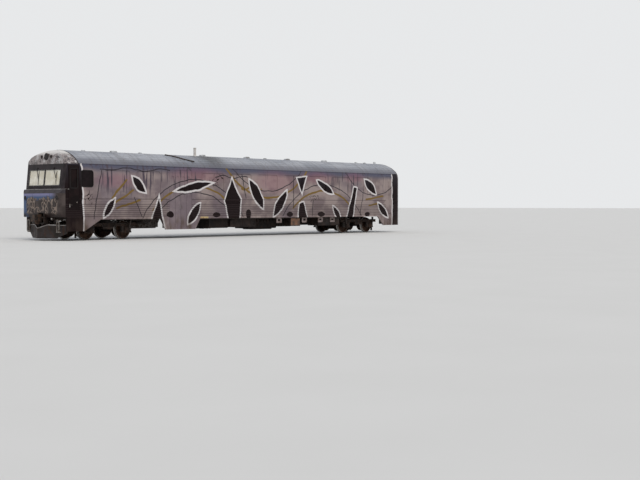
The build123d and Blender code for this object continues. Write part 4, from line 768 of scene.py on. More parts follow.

# Roof. Steel sheets with rolled beads along them and welt seams across, painted blue-grey,
# streaked with soot behind the exhaust and grime down to the gutters; the shoulders are darkened as
# painted shade.
ROOF_RADIUS = 2.0
SHOULDER_RADIUS = 0.52
roof_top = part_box("roof_panel")[1].z
roof_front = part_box("roof_panel")[1].x
roof_centre_z = roof_top - ROOF_RADIUS
shoulder_y = half_width - SHOULDER_RADIUS
shoulder_z = roof_centre_z + math.sqrt((ROOF_RADIUS - SHOULDER_RADIUS) ** 2 - shoulder_y**2)
BEAD_PLACES = (0.30, 0.48, 0.66, 0.84, 1.02, 1.18)
BEAD_RISE = 0.011
BEAD_HALF = BEAD_RISE * 1.6
SEAM_PLACES = row(9.2, -2.05, 10)
SEAM_WIDTH = 0.034
SEAM_RISE = 0.004


def roof_line(lift):
    """Points (y, z) over the roof from gutter to gutter, lifted off its skin."""
    foot_turn = math.asin((GUTTER_Z - shoulder_z) / SHOULDER_RADIUS)
    join_turn = math.atan2(shoulder_z - roof_centre_z, shoulder_y)
    half = []
    for step in range(8):
        turn = foot_turn + (join_turn - foot_turn) * step / 8
        reach = SHOULDER_RADIUS + lift
        half.append((shoulder_y + reach * math.cos(turn), shoulder_z + reach * math.sin(turn)))
    for step in range(15):
        turn = join_turn + (math.pi / 2 - join_turn) * step / 14
        reach = ROOF_RADIUS + lift
        half.append((reach * math.cos(turn), roof_centre_z + reach * math.sin(turn)))
    return half + [(-wide, rise) for wide, rise in reversed(half[:-1])]


def roof_band(bm, middle, width, rise):
    """A band over the roof from gutter to gutter."""
    start, end = middle - width / 2, middle + width / 2
    rings = []
    for low, high in zip(roof_line(-0.002), roof_line(rise)):
        corners = ((start, low), (start, high), (end, high), (end, low))
        rings.append([Vector((along, *spot)) for along, spot in corners])
    skin(bm, rings)


def roof_height(across):
    return roof_centre_z + math.sqrt(ROOF_RADIUS**2 - across**2)


roof_paint = Finish("roof_paint", 0.55)
cloud = roof_paint.clouded(
    1.3, (0.235, 0.245, 0.275), (0.33, 0.335, 0.36), (0.35, 0.65), 6.0, (0.5, 1, 1)
)
# Painted shade: the roof darkens below its crown towards the gutters.
roof_paint.over(roof_paint.fade(roof_paint.axis("Z"), 3.52, 3.20), (0.085, 0.083, 0.105), 0.8)
streaks = {"stretch": (1.6, 0.12, 0.12), "detail": 6.0}
roof_paint.patches((0.10, 0.095, 0.10), 0.35, (0.48, 0.62), 6.0, **streaks)
roof_paint.patches((0.11, 0.055, 0.03), 0.7, (0.64, 0.70), 11.0, detail=8.0, shift=(4, 4, 4))
soot_off = roof_paint.vector("DISTANCE", roof_paint.place, (2.2, 0.6, 3.6), 1)
roof_paint.over(roof_paint.fade(soot_off, 1.3, 0.2), (0.02, 0.019, 0.02), 0.7)
roof_paint.rough(cloud, 0.45, 0.7)
roof_paint.grain(40.0, 0.001, 0.3)
coat(roof_paint, "roof_panel")

bm = bmesh.new()
for side in (1, -1):
    for wide in BEAD_PLACES:
        out = Vector((0, side * wide, roof_height(wide) - roof_centre_z)).normalized()
        beside = Vector((0, -out.z, out.y))
        foot = Vector((rear_x + 0.10, side * wide, roof_height(wide)))
        outline = [foot + beside * BEAD_HALF * a + out * BEAD_RISE * b for a, b in compass(12)[:7]]
        prism(bm, outline, (roof_front - rear_x - 0.20, 0, 0))
piece("roof_beads", bm, roof_paint)
bm = bmesh.new()
for place in SEAM_PLACES:
    roof_band(bm, place, SEAM_WIDTH, SEAM_RISE)
piece("roof_seams", bm, roof_paint)

# Roof vents. Cast aluminium covers in the place of plain blocks: a flange with bolts, a domed hood
# and louvre lips along both sides; the big ones ventilate the saloon, the small ones are hatches.
# Columns: middle behind the front, length, width, height
VENTS = (
    (2.080, 0.180, 0.140, 0.050),
    (3.650, 0.280, 0.240, 0.075),
    (5.100, 0.180, 0.140, 0.050),
    (8.760, 0.280, 0.240, 0.075),
    (11.620, 0.280, 0.240, 0.075),
    (12.880, 0.180, 0.140, 0.050),
    (14.430, 0.280, 0.240, 0.075),
    (17.220, 0.280, 0.240, 0.075),
    (19.810, 0.180, 0.140, 0.050),
    (20.530, 0.180, 0.140, 0.050),
    (21.380, 0.150, 0.150, 0.120),
)
VENT_FLANGE = 0.014
VENT_BOLTS = 6
BOLT_INSET = 0.06
BOLTED_LENGTH = 0.25


def bolt(bm, foot, way, radius, shoulder, top, tip):
    """A six-sided head, chamfered from its shoulder to its top."""
    turned(bm, foot, way, ((0, radius), (shoulder, radius), (top, tip)), 6)


vent_paint = Finish("vent_paint", 0.5)
vent_paint.clouded(5.0, (0.62, 0.62, 0.62), (0.26, 0.25, 0.24), (0.4, 0.65), 6.0)
vent_paint.grain(50.0, 0.001, 0.4)
bm = bmesh.new()
for behind, length, width, rise in VENTS:
    middle = front_x - behind
    # Rings up the vent: height, inset, corner
    levels = (
        (roof_height(width / 2) - 0.002, 0.0, 0.02),
        (roof_top + 0.010, 0.0, 0.02),
        (roof_top + 0.012, VENT_FLANGE, 0.03),
        (roof_top + 0.55 * rise, VENT_FLANGE, 0.035),
        (roof_top + 0.60 * rise, VENT_FLANGE * 0.3, 0.04),
        (roof_top + 0.72 * rise, VENT_FLANGE * 0.6, 0.045),
        (roof_top + 0.90 * rise, VENT_FLANGE * 2.4, 0.04),
        (roof_top + rise, VENT_FLANGE * 4.0, 0.018),
    )
    rings = []
    for level, inset, corner in levels:
        points = round_corners((length - 2 * inset, width - 2 * inset), corner, 4)
        rings.append([Vector((middle + point.x, point.y, level)) for point, out in points])
    skin(bm, rings)
    if length > BOLTED_LENGTH:
        pitch = (length - 2 * BOLT_INSET) / (VENT_BOLTS - 1)
        for place in row(middle - length / 2 + BOLT_INSET, pitch, VENT_BOLTS):
            for way in (-1, 1):
                foot = (place, way * (width / 2 - 0.010), roof_top + 0.011)
                bolt(bm, foot, UP, 0.007, 0.004, 0.006, 0.004)
dressed_vents = piece("dressed_vents", bm, vent_paint)
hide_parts("roof_vents")

# Exhaust stack and the roof pipe. A pale steel tube by the crown of the roof, behind the main doorway,
# with a collar and a rain lip, and a dark clipped pipe that runs down over the shoulder beside it.
stack_low, stack_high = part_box("exhaust_stack")
stack_centre = Vector(((stack_low.x + stack_high.x) / 2, (stack_low.y + stack_high.y) / 2, 0))
stack_radius = (stack_high.x - stack_low.x) / 2
collar_z = roof_height(stack_centre.y + stack_radius) - 0.01
lip_z = stack_high.z - 0.05
# Rings round the tube: distance up, how far proud of it
COLLAR = ((0.0, 0.035), (0.02, 0.022), (0.06, 0.006), (0.08, 0.0015))
RAIN_LIP = ((0, 0.001), (0.01, 0.008), (0.03, 0.008), (0.04, 0.001))
# The pipe's corners: place along the roof, distance from the middle
EDGE_PIPE = ((4.67, 0.50), (4.30, 0.72), (3.95, 0.98), (3.62, 1.10), (3.49, 1.125))
EDGE_PIPE_RADIUS = 0.03


def pipe(bm, route, radius, count=10, bend=0.06):
    """A bent pipe through corner points, with round bends."""
    route = [Vector(point) for point in route]
    line = [route[0]]
    for before, corner, after in zip(route, route[1:], route[2:]):
        arm = min(bend, (corner - before).length * 0.45, (after - corner).length * 0.45)
        start = corner + (before - corner).normalized() * arm
        end = corner + (after - corner).normalized() * arm
        for step in range(6):
            share = step / 5
            near = start.lerp(corner, share)
            line.append(near.lerp(corner.lerp(end, share), share))
    line.append(route[-1])
    across, up = square_to(line[1] - line[0])
    rings = []
    for place, point in enumerate(line):
        way = line[min(place + 1, len(line) - 1)] - line[max(place - 1, 0)]
        way.normalize()
        across = (across - way * across.dot(way)).normalized()
        rings.append(ring_at(point, across, way.cross(across), radius, count))
    skin(bm, rings)


stack_paint = Finish("stack_paint", 0.55)
stack_paint.clouded(9.0, (0.62, 0.59, 0.55), (0.40, 0.36, 0.33))
sooty = stack_paint.fade(stack_paint.axis("Z"), stack_high.z - 0.05, stack_high.z + 0.03)
stack_paint.over(sooty, (0.02, 0.018, 0.017))
coat(stack_paint, "exhaust_stack")
bm = bmesh.new()
for level, section in ((collar_z, COLLAR), (lip_z, RAIN_LIP)):
    profile = [(run, stack_radius + proud) for run, proud in section]
    turned(bm, stack_centre + UP * level, UP, profile, 28)
piece("stack_collars", bm, stack_paint)
dark_steel = Finish("dark_steel", 0.6, 0.3)
dark_steel.clouded(8.0, (0.030, 0.024, 0.022), (0.055, 0.036, 0.026), (0.4, 0.65))
dark_steel.grain(60.0, 0.001, 0.5)
bm = bmesh.new()
route = [(along, wide, roof_height(wide) + EDGE_PIPE_RADIUS) for along, wide in EDGE_PIPE]
pipe(bm, route, EDGE_PIPE_RADIUS, 12, 0.12)
for along, wide, rise in route[1:4]:
    upright(bm, (along, wide), (0.04, 0.10), (rise - 0.06, rise - 0.012), 0.004)
piece("roof_edge_pipe", bm, dark_steel)

# Cab dome. A moulded cap sprayed silver-white, freckled and scribbled on with small marks,
# with a seam band to the roof and its crest lightened in clouds as a painted highlight; three lamps in
# dark bezels look out of it over the glass.
dome_paint = Finish("dome_paint", 0.5)
cloud = dome_paint.clouded(2.2, (0.150, 0.120, 0.115), (0.30, 0.26, 0.25), (0.35, 0.65), 6.0)
dome_paint.patches((0.50, 0.48, 0.47), 0.7, (0.50, 0.62), 4.5, detail=2.0, shift=(2, 5, 1))
dome_paint.patches((0.03, 0.022, 0.026), 0.85, (0.60, 0.63), 11.0, detail=1.5)
curl = dome_paint.apart(dome_paint.noise(5.0, (1, 1, 1.4), 1.5), 0.5)
curl_place = dome_paint.fade(dome_paint.noise(1.6, detail=1.0, shift=(7, 1, 3)), 0.42, 0.48)
dome_paint.over(dome_paint.fade(curl, 0.030, 0.016), (0.022, 0.018, 0.022), curl_place)
# Painted highlight: the top of the dome lightens to near white in clouds.
painted_crest_highlight = dome_paint.fade(dome_paint.axis("Z"), 3.47, 3.62)
dome_paint.over(painted_crest_highlight, (0.58, 0.55, 0.52), dome_paint.fade(cloud, 0.30, 0.45))
dome_paint.rough(cloud, 0.4, 0.62)
dome_paint.grain(55.0, 0.0008, 0.4)
coat(dome_paint, "cab_dome")
bm = bmesh.new()
roof_band(bm, roof_front, 0.044, 0.007)
piece("dome_seam", bm, black_rubber)

# Top lamps: distance from the middle plane, radius
TOP_LAMPS = ((0.0, 0.14), (0.335, 0.06), (-0.335, 0.06))
TOP_LAMP_Z = 3.428
DOME_FACE = 10.489
FORWARD = Vector((1, 0, 0))
BEZEL = ((-0.02, 0.0), (0.012, 0.0), (0.016, 0.006), (0.014, 0.016), (0.006, 0.022), (-0.01, 0.022))


def turned_ring(bm, centre, section, count):
    """A ring that faces forward, from the (distance, radius) pairs of its section."""
    across, up = square_to(FORWARD)
    rings = []
    for a, b in compass(count):
        out = across * a + up * b
        rings.append([Vector(centre) + FORWARD * run + out * radius for run, radius in section])
    skin(bm, rings, joined=True)


def bezel(bm, face, radius):
    """The ring round a lamp of some radius."""
    turned_ring(bm, face, [(run, radius - 0.006 + thick) for run, thick in BEZEL], 32)


def lens(bm, face, radius, bulge):
    """A domed lens with a flat back."""
    arc = compass(28)[:7]
    profile = [(-0.01, radius)] + [(bulge * b, radius * a) for a, b in arc]
    turned(bm, face, FORWARD, profile, 32)


lamp_glass = Finish("lamp_glass", 0.12, shine=0.2)
lamp_glass.clouded(6.0, (0.006, 0.003, 0.003), (0.016, 0.010, 0.010))
coat(lamp_glass, "lamps")
bezels = bmesh.new()
lenses = bmesh.new()
for wide, radius in TOP_LAMPS:
    bezel(bezels, (DOME_FACE, wide, TOP_LAMP_Z), radius)
    lens(lenses, (DOME_FACE - 0.002, wide, TOP_LAMP_Z), radius - 0.01, 0.012)
piece("top_lamp_bezels", bezels, dark_steel)
piece("top_lamp_lenses", lenses, lamp_glass)

# Windscreen. Two flat panes in rubber under a bright filler strip, set in a dark leaning frame,
# with a row of slots with two blades each below them. The glass is coloured pale cream as a painted
# reflection of a bright sky.
FACE_LEAN = math.radians(7)
LEDGE_FACE = 10.65
LEDGE_Z = 2.098
SCREEN_INNER = 0.03
SCREEN_OUTER = 1.095
SCREEN_BOTTOM, SCREEN_TOP = 2.248, 2.888
SCREEN_CORNER = 0.03
SCREEN_SEAL = (
    (-0.016, -0.013),
    (0.0, -0.013),
    (0.001, 0.0),
    (0.020, 0.0),
    (0.018, 0.005),
    (-0.006, 0.008),
    (-0.016, 0.003),
)
FILLER = ((-0.004, 0.006), (0.004, 0.006), (0.003, 0.010), (-0.003, 0.010))
SLOT_Z = 2.178
SLOT_SIZE = (0.12, 0.055)
SLOT_CORNER = 0.02
SLOT_RIM = ((-0.004, -0.002), (0.006, -0.002), (0.005, 0.003), (-0.002, 0.004))
SLOT_PLACES = row(-1.02, 0.17, 13)
FACE_UP = Vector((-math.tan(FACE_LEAN), 0, 1)).normalized()
FACE_OUT = Vector((1, 0, math.tan(FACE_LEAN))).normalized()
ACROSS = Vector((0, 1, 0))


def on_face(wide, height, off=0.0):
    """A point on the leaning front face, or off it."""
    foot = Vector((LEDGE_FACE - math.tan(FACE_LEAN) * (height - LEDGE_Z), wide, height))
    return foot + FACE_OUT * off


screen_glass = Finish("screen_glass", 0.06)
# Painted reflection: the glass's pale cream colour stands for a bright sky on it; the same clouds also
# roughen it like dust.
dust_and_painted_reflection = screen_glass.clouded(3.0, (0.74, 0.67, 0.51), (0.95, 0.90, 0.76), (0.35, 0.7), 6.0)
screen_glass.rough(screen_glass.fade(dust_and_painted_reflection, 0.45, 0.7), 0.05, 0.25)
screen_glass.shader.inputs["Transmission Weight"].default_value = 0.22
screen_glass.shader.inputs["Coat Weight"].default_value = 0.6
coat(screen_glass, "windscreen")
bright_trim = Finish("bright_trim", 0.3, 0.9)
bright_trim.clouded(12.0, (0.50, 0.50, 0.50), (0.25, 0.22, 0.20), (0.4, 0.7))
frame_paint = Finish("frame_paint", 0.5, shine=0.25)
cloud = frame_paint.clouded(3.0, (0.010, 0.0065, 0.0075), (0.026, 0.018, 0.021), (0.35, 0.65), 6.0)
frame_paint.patches((0.060, 0.048, 0.054), 0.5, (0.60, 0.68), 2.1, detail=3.0, shift=(3, 3, 3))
frame_paint.rough(cloud, 0.45, 0.65)
coat(frame_paint, "windscreen_frame")
bm = bmesh.new()
filler = bmesh.new()
size = (SCREEN_OUTER - SCREEN_INNER, (SCREEN_TOP - SCREEN_BOTTOM) / math.cos(FACE_LEAN))
for side in (-1, 1):
    centre = on_face(side * (SCREEN_INNER + SCREEN_OUTER) / 2, (SCREEN_BOTTOM + SCREEN_TOP) / 2)
    rim(bm, centre, ACROSS, FACE_UP, size, SCREEN_CORNER, SCREEN_SEAL)
    rim(filler, centre, ACROSS, FACE_UP, size, SCREEN_CORNER, FILLER)
piece("windscreen_rubber", bm, black_rubber)
piece("windscreen_filler", filler, bright_trim)
bm = bmesh.new()
for wide in SLOT_PLACES:
    rim(bm, on_face(wide, SLOT_Z), ACROSS, FACE_UP, SLOT_SIZE, SLOT_CORNER, SLOT_RIM)
piece("slot_rims", bm, frame_paint)
bm = bmesh.new()
for wide in SLOT_PLACES:
    for rise in (-0.012, 0.008):
        start = on_face(wide - 0.05, SLOT_Z + rise, 0.0005)
        rod(bm, start, start + ACROSS * 0.10, 0.006, 8)
piece("slot_blades", bm, black_rubber)

# Wipers. Pressed steel under black paint: a hub over each pane, an arm and a rod side by side
# down to an elbow, and a blade that two claws press on the glass.
# Columns: hub and blade, as distances from the middle plane
WIPERS = ((-0.55, -0.42), (0.63, 0.84))
HUB_Z, ELBOW_Z = 2.968, 2.548
HUB = ((0, 0.050), (0.010, 0.046), (0.016, 0.030), (0.032, 0.026), (0.040, 0.014))
ELBOW_NUT = ((0, 0.010), (0.016, 0.010), (0.019, 0.006))
# Arm and rod: distance beside the hub's middle, radius
ARMS = ((-0.010, 0.0075), (0.012, 0.0055))
BLADE_LOW, BLADE_HIGH = 2.278, 2.838
CLAW = ((-0.11, 0.004), (0, 0.014), (0.11, 0.004))
black_plastic = Finish("black_plastic", 0.45, shine=0.25)
black_plastic.clouded(20.0, (0.006, 0.004, 0.004), (0.014, 0.010, 0.010))
black_plastic.grain(120.0, 0.0003, 0.5)
bm = bmesh.new()
for hub, blade in WIPERS:
    turned(bm, on_face(hub, HUB_Z, -0.004), FACE_OUT, HUB)
    elbow = on_face(blade, ELBOW_Z, 0.022)
    for shift, radius in ARMS:
        start = on_face(hub + shift, HUB_Z - 0.01, 0.026)
        bent = on_face(hub + shift, HUB_Z - 0.06, 0.030)
        pipe(bm, (start, bent, elbow + ACROSS * shift), radius, 8, 0.03)
    turned(bm, elbow - FACE_OUT * 0.010, FACE_OUT, ELBOW_NUT, 12)
    rod(bm, on_face(blade, BLADE_LOW + 0.10, 0.016), on_face(blade, BLADE_HIGH - 0.10, 0.016), 0.005, 8)
    for height in (BLADE_LOW + 0.12, BLADE_HIGH - 0.12):
        pipe(bm, [on_face(blade, height + run, off) for run, off in CLAW], 0.004, 8, 0.04)
    rod(bm, on_face(blade, BLADE_LOW), on_face(blade, BLADE_HIGH), 0.0065, 8)
dressed_wipers = piece("dressed_wipers", bm, black_plastic)
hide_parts("wipers")

# Nose. Steel panel under the windscreen, sprayed blue, lightening to lilac towards the top as a painted
# sheen, with curling cream strokes on brown;
# a pale strip runs along its ledge, a dark band with seams below it, and a lamp sits near each corner.
STROKE_MIDDLE_Z = 1.42
STROKE_SHIFTS = ((0, 0, 0), (4, 2, 7))
NOSE_CORNER = 0.25
LEDGE_STRIP_Z = 2.094
LEDGE_STRIP_RADIUS = 0.009
BAND_LOW, BAND_HIGH = 1.932, 2.090
BAND_SEAMS = (-0.9, -0.54, -0.18, 0.18, 0.54, 0.9)
PANEL_SEAMS = (-0.62, 0.62)
PANEL_SEAM_SPAN = (1.13, 1.92)
HEADLIGHT_Y, HEADLIGHT_Z = 1.13, 1.748
nose_paint = Finish("nose_paint", 0.5, shine=0.3)
wide = nose_paint.axis("Y")
height = nose_paint.axis("Z")
cloud = nose_paint.clouded(2.4, (0.022, 0.014, 0.012), (0.060, 0.044, 0.040), (0.38, 0.62), 5.0)
ragged = nose_paint.calc("MULTIPLY_ADD", cloud, 0.5, nose_paint.calc("SUBTRACT", height, 0.25))
# Painted sheen: the blue paint lightens to lilac towards the top.
blue_with_painted_sheen = nose_paint.mix(nose_paint.fade(height, 1.76, 1.88), (0.050, 0.085, 0.170), (0.200, 0.195, 0.330))
left_blue = nose_paint.fade(nose_paint.calc("MULTIPLY_ADD", cloud, 0.6, wide), -0.45, -0.80)
blue = nose_paint.calc("MAXIMUM", nose_paint.fade(ragged, 1.62, 1.78), left_blue)
nose_paint.over(blue, blue_with_painted_sheen, nose_paint.fade(wide, 1.15, 0.60))
stroke_room = nose_paint.fade(nose_paint.apart(ragged, STROKE_MIDDLE_Z), 0.36, 0.30)
side_room = nose_paint.fade(nose_paint.apart(wide, 0.05), 1.15, 1.02)
stroke_room = nose_paint.times(stroke_room, side_room)
for shift in STROKE_SHIFTS:
    edge = nose_paint.apart(nose_paint.noise(3.3, (1, 1, 0.8), 1.0, shift), 0.5)
    nose_paint.over(nose_paint.fade(edge, 0.062, 0.050), (0.020, 0.009, 0.007), stroke_room)
    nose_paint.over(nose_paint.fade(edge, 0.036, 0.026), (0.230, 0.175, 0.140), stroke_room)
under_ledge = nose_paint.fade(height, 2.092, 2.086)
nose_paint.over(nose_paint.fade(height, 1.922, 1.932), (0.028, 0.022, 0.026), under_ledge)
# Darker towards the bottom of the nose, in clouds.
lower_dark_clouds = nose_paint.fade(cloud, 0.25, 0.5)
nose_paint.over(nose_paint.fade(height, 1.22, 0.98), (0.014, 0.006, 0.005), lower_dark_clouds)
nose_paint.rough(cloud, 0.38, 0.6)
nose_paint.grain(60.0, 0.0008, 0.4)
coat(nose_paint, "cab_nose")

pale_trim = Finish("pale_trim", 0.45, 0.3)
pale_trim.clouded(6.0, (0.42, 0.40, 0.38), (0.20, 0.17, 0.16), (0.4, 0.7))
bm = bmesh.new()
ledge_line = []
quarter = compass(32)[:9]
for side, arc in ((-1, quarter[::-1]), (1, quarter)):
    for a, b in arc:
        wide = side * (half_width - NOSE_CORNER + NOSE_CORNER * b)
        ledge_line.append((LEDGE_FACE - NOSE_CORNER * (1 - a), wide, LEDGE_STRIP_Z))
pipe(bm, ledge_line, LEDGE_STRIP_RADIUS, 8, 0.02)
piece("ledge_strip", bm, pale_trim)
bm = bmesh.new()
for wide in BAND_SEAMS:
    rod(bm, (front_x - 0.001, wide, BAND_LOW), (LEDGE_FACE + 0.002, wide, BAND_HIGH), 0.004, 6)
for wide in PANEL_SEAMS:
    rod(bm, (front_x, wide, PANEL_SEAM_SPAN[0]), (front_x, wide, PANEL_SEAM_SPAN[1]), 0.0035, 6)
piece("nose_seams", bm, frame_paint)
bezels = bmesh.new()
lenses = bmesh.new()
for side in (-1, 1):
    bezel(bezels, (front_x, side * HEADLIGHT_Y, HEADLIGHT_Z), 0.095)
    lens(lenses, (front_x - 0.003, side * HEADLIGHT_Y, HEADLIGHT_Z), 0.088, 0.010)
piece("headlight_bezels", bezels, nose_paint)
piece("headlight_lenses", lenses, lamp_glass)

# Cab doors. Near-black steel leaves that open inwards, each with a clear pane in rubber,
# a lever handle on its plate and a key ring below the window.
CAB_DOOR_PANE_PLACE = (10.1675, 2.533)
CAB_DOOR_PANE = (0.36, 0.79)
HANDLE_PLACE = (10.372, 1.428)
HANDLE_PLATE = (0.044, 0.14)
HANDLE_BOSS = ((0, 0.012), (0.010, 0.011), (0.013, 0.008))
# The lever's corners: along the side, off it, up from the plate's middle
LEVER = ((0, 0.010, 0.03), (-0.02, 0.012, 0.03), (-0.11, 0.012, 0.025))
KEY_RING_PLACE = (10.03, 1.558)
KEY_RING = ((0, 0.028), (0.003, 0.028), (0.004, 0.020), (0.002, 0.012), (0.004, 0.006))
cab_door_paint = Finish("cab_door_paint", 0.45, shine=0.12)
cloud = cab_door_paint.clouded(3.0, (0.004, 0.0012, 0.0012), (0.010, 0.004, 0.004), (0.4, 0.7), 6.0)
cab_door_paint.rough(cloud, 0.35, 0.6)
coat(cab_door_paint, "cab_door_left", "cab_door_right")
for side_name, side in SIDES:
    outer = side * half_width
    body = f"cab_door_{side_name}"
    bm = bmesh.new()
    window_rim(bm, side, *CAB_DOOR_PANE_PLACE, CAB_DOOR_PANE, LEAF_PANE_CORNER)
    piece(f"{body}_seal", bm, black_rubber, body)
    bm = bmesh.new()
    place, height = HANDLE_PLACE
    wall_plate(bm, side, HANDLE_PLACE, HANDLE_PLATE, 0.003, 0.0015)
    turned(bm, (place, outer + side * 0.002, height + 0.03), (0, side, 0), HANDLE_BOSS, 14)
    lever = [(place + run, outer + side * off, height + rise) for run, off, rise in LEVER]
    pipe(bm, lever, 0.006, 8, 0.01)
    place, height = KEY_RING_PLACE
    turned(bm, (place, outer, height), (0, side, 0), KEY_RING)
    piece(f"{body}_handle", bm, worn_steel, body)

# Coupler. Cast iron automatic head on its shank: a flat face with a cone, a funnel and air ports,
# an electric box under it, and the steel carrier box that it comes out of, with a bolted rim.
COUPLER_Z = 0.928
HEAD_BACK = 10.85
HEAD_RIBS = (-0.11, -0.037, 0.037, 0.11)
CONE = ((0, 0.060), (0.006, 0.058), (0.009, 0.030), (0.010, 0.010))
FUNNEL = ((0, 0.044), (0.013, 0.056), (0.013, 0.064), (0, 0.068))
AIR_PORT = ((0, 0.020), (0.010, 0.019), (0.011, 0.008))
SHANK = ((0, 0.060), (0.02, 0.070), (0.10, 0.070), (0.12, 0.060), (0.20, 0.064), (0.225, 0.085))
CARRIER_OPENING = (0.39, 0.42)
CARRIER_CORNER = 0.02
CARRIER_RIM = ((-0.012, -0.06), (0.03, -0.003), (0.03, 0.006), (0.004, 0.010), (-0.012, 0.008))
head_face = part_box("front_coupler")[1].x


def about(middle, half):
    """The span that reaches as far on both sides of a middle."""
    return middle - half, middle + half


def slab(bm, along, wide, rise, edge, steps=2):
    """A block given by its spans along, across and up."""
    spans = (along, wide, rise)
    size = [abs(end - start) for start, end in spans]
    block(bm, [sum(span) / 2 for span in spans], size, edge, steps)


def settle_dust(finish, colour):
    """Dust that lies on whatever faces up."""
    level = finish.axis("Z", finish.put("NewGeometry", out="Normal"))
    finish.over(finish.fade(level, 0.6, 0.95), colour, 0.6)


coupler_iron = Finish("coupler_iron", 0.5, 0.5)
coupler_iron.clouded(9.0, (0.022, 0.016, 0.014), (0.070, 0.040, 0.026), (0.4, 0.65), 6.0)
coupler_iron.grain(45.0, 0.0015, 0.6)
coat(coupler_iron, "front_coupler")
bm = bmesh.new()
for rise in HEAD_RIBS:
    slab(bm, (HEAD_BACK + 0.02, head_face - 0.05), about(0, 0.158), about(COUPLER_Z + rise, 0.009), 0.005)
turned(bm, (head_face - 0.012, -0.075, COUPLER_Z), FORWARD, CONE, 24)
turned_ring(bm, (head_face - 0.014, 0.075, COUPLER_Z), FUNNEL, 28)
for wide in (-0.045, 0.045):
    turned(bm, (head_face - 0.012, wide, COUPLER_Z + 0.115), FORWARD, AIR_PORT, 16)
box_rise = (COUPLER_Z - 0.245, COUPLER_Z - 0.165)
slab(bm, (HEAD_BACK + 0.03, head_face - 0.04), about(0, 0.13), box_rise, 0.012)
neck_rise = (COUPLER_Z - 0.175, COUPLER_Z - 0.140)
slab(bm, (HEAD_BACK + 0.06, head_face - 0.09), about(0, 0.05), neck_rise, 0.006)
turned(bm, (HEAD_BACK - 0.22, 0, COUPLER_Z), FORWARD, SHANK, 24)
piece("coupler_dressing", bm, coupler_iron, "coupler")

frame_dirt = Finish("frame_dirt", 0.75, shine=0.25)
cloud = frame_dirt.clouded(4.0, (0.008, 0.004, 0.003), (0.026, 0.015, 0.011), (0.38, 0.65), 7.0)
settle_dust(frame_dirt, (0.075, 0.052, 0.038))
frame_dirt.rough(cloud, 0.6, 0.9)
frame_dirt.grain(38.0, 0.0018, 0.5)
coat(frame_dirt, "side_sills", "cross_members", "coupler_carrier", "rear_drawbar")
bm = bmesh.new()
rim(bm, (front_x, 0, COUPLER_Z), ACROSS, UP, CARRIER_OPENING, CARRIER_CORNER, CARRIER_RIM)
for wide in (-0.212, 0.212):
    for rise in (-0.15, -0.05, 0.05, 0.15):
        bolt(bm, (front_x + 0.005, wide, COUPLER_Z + rise), FORWARD, 0.011, 0.006, 0.008, 0.006)
piece("carrier_rim", bm, dark_steel)

# Brake hoses. A cast cock and a stub of hose under each side of the nose, screwed into the headstock,
# with a pale capped coupling held up on a hook.
HOSE_SIDES = (-0.64, 0.64)
HOSE_Z = 0.91
HEADSTOCK_FRONT = 10.52
# The hose's corners: ahead of the headstock, up from the cock
HOSE = ((-0.01, 0), (0.10, 0), (0.13, -0.10), (0.17, -0.03))
COCK = ((0, 0.022), (0.01, 0.030), (0.04, 0.030), (0.05, 0.022))
COUPLING_WAY = (0.45, 0, 1.0)
COUPLING = ((0, 0.020), (0.006, 0.034), (0.030, 0.036), (0.045, 0.030), (0.055, 0.024), (0.060, 0.012))
bm = bmesh.new()
for wide in HOSE_SIDES:
    pipe(bm, [(HEADSTOCK_FRONT + run, wide, HOSE_Z + rise) for run, rise in HOSE], 0.017, 12, 0.04)
    turned(bm, (HEADSTOCK_FRONT + 0.02, wide, HOSE_Z), FORWARD, COCK, 12)
    lever = (HEADSTOCK_FRONT + 0.04, wide, HOSE_Z)
    rod(bm, lever, (HEADSTOCK_FRONT + 0.04, wide - 0.07, HOSE_Z + 0.01), 0.006, 8)
piece("brake_hoses", bm, dark_steel)
bm = bmesh.new()
for wide in HOSE_SIDES:
    turned(bm, (HEADSTOCK_FRONT + 0.165, wide, HOSE_Z - 0.04), COUPLING_WAY, COUPLING, 16)
piece("hose_couplings", bm, pale_trim)

# Plough. Two steel plates welded at a nose under the coupler, with a tube along the top edge coloured pale
# as a painted highlight, ribs down the front and bolts at the arms, scuffed green-brown and purple.
PLOUGH_NOSE_X = 10.96
PLOUGH_SWEEP = 0.54
PLOUGH_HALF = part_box("plough")[1].y
KINK_HALF, FOOT_HALF = 0.45, 0.85
FOOT_EDGE_Z = 0.11
TIP_BOTTOM = 0.328
# Edges: distance from the middle plane, height
PLOUGH_TOP = ((0.0, 0.508), (KINK_HALF, 0.648), (PLOUGH_HALF, 0.628))
PLOUGH_FOOT = ((0.0, 0.098), (FOOT_HALF, 0.098), (PLOUGH_HALF, TIP_BOTTOM))
PLOUGH_RIBS = (-1.12, -0.78, -0.24, 0.24, 0.78, 1.12)


def on_plough(wide, height, off=0.0):
    """A point on the plough's swept front plates, or ahead of them."""
    return Vector((PLOUGH_NOSE_X - PLOUGH_SWEEP * abs(wide) / PLOUGH_HALF + off, wide, height))


def edge_height(line, wide):
    """The height of one of the plough's edges."""
    for (near, low), (far, high) in zip(line, line[1:]):
        if abs(wide) <= far:
            return low + (high - low) * (abs(wide) - near) / (far - near)


plough_paint = Finish("plough_paint", 0.55, shine=0.25)
cloud = plough_paint.clouded(3.2, (0.018, 0.013, 0.010), (0.034, 0.027, 0.027), (0.35, 0.65), 6.0)
rust = {"stretch": (1, 1, 0.5), "detail": 7.0, "shift": (3, 1, 1)}
plough_paint.patches((0.040, 0.018, 0.010), 0.7, (0.52, 0.64), 7.0, **rust)
plough_paint.rough(cloud, 0.45, 0.75)
plough_paint.grain(30.0, 0.0015, 0.5)
coat(plough_paint, "plough")
bm = bmesh.new()
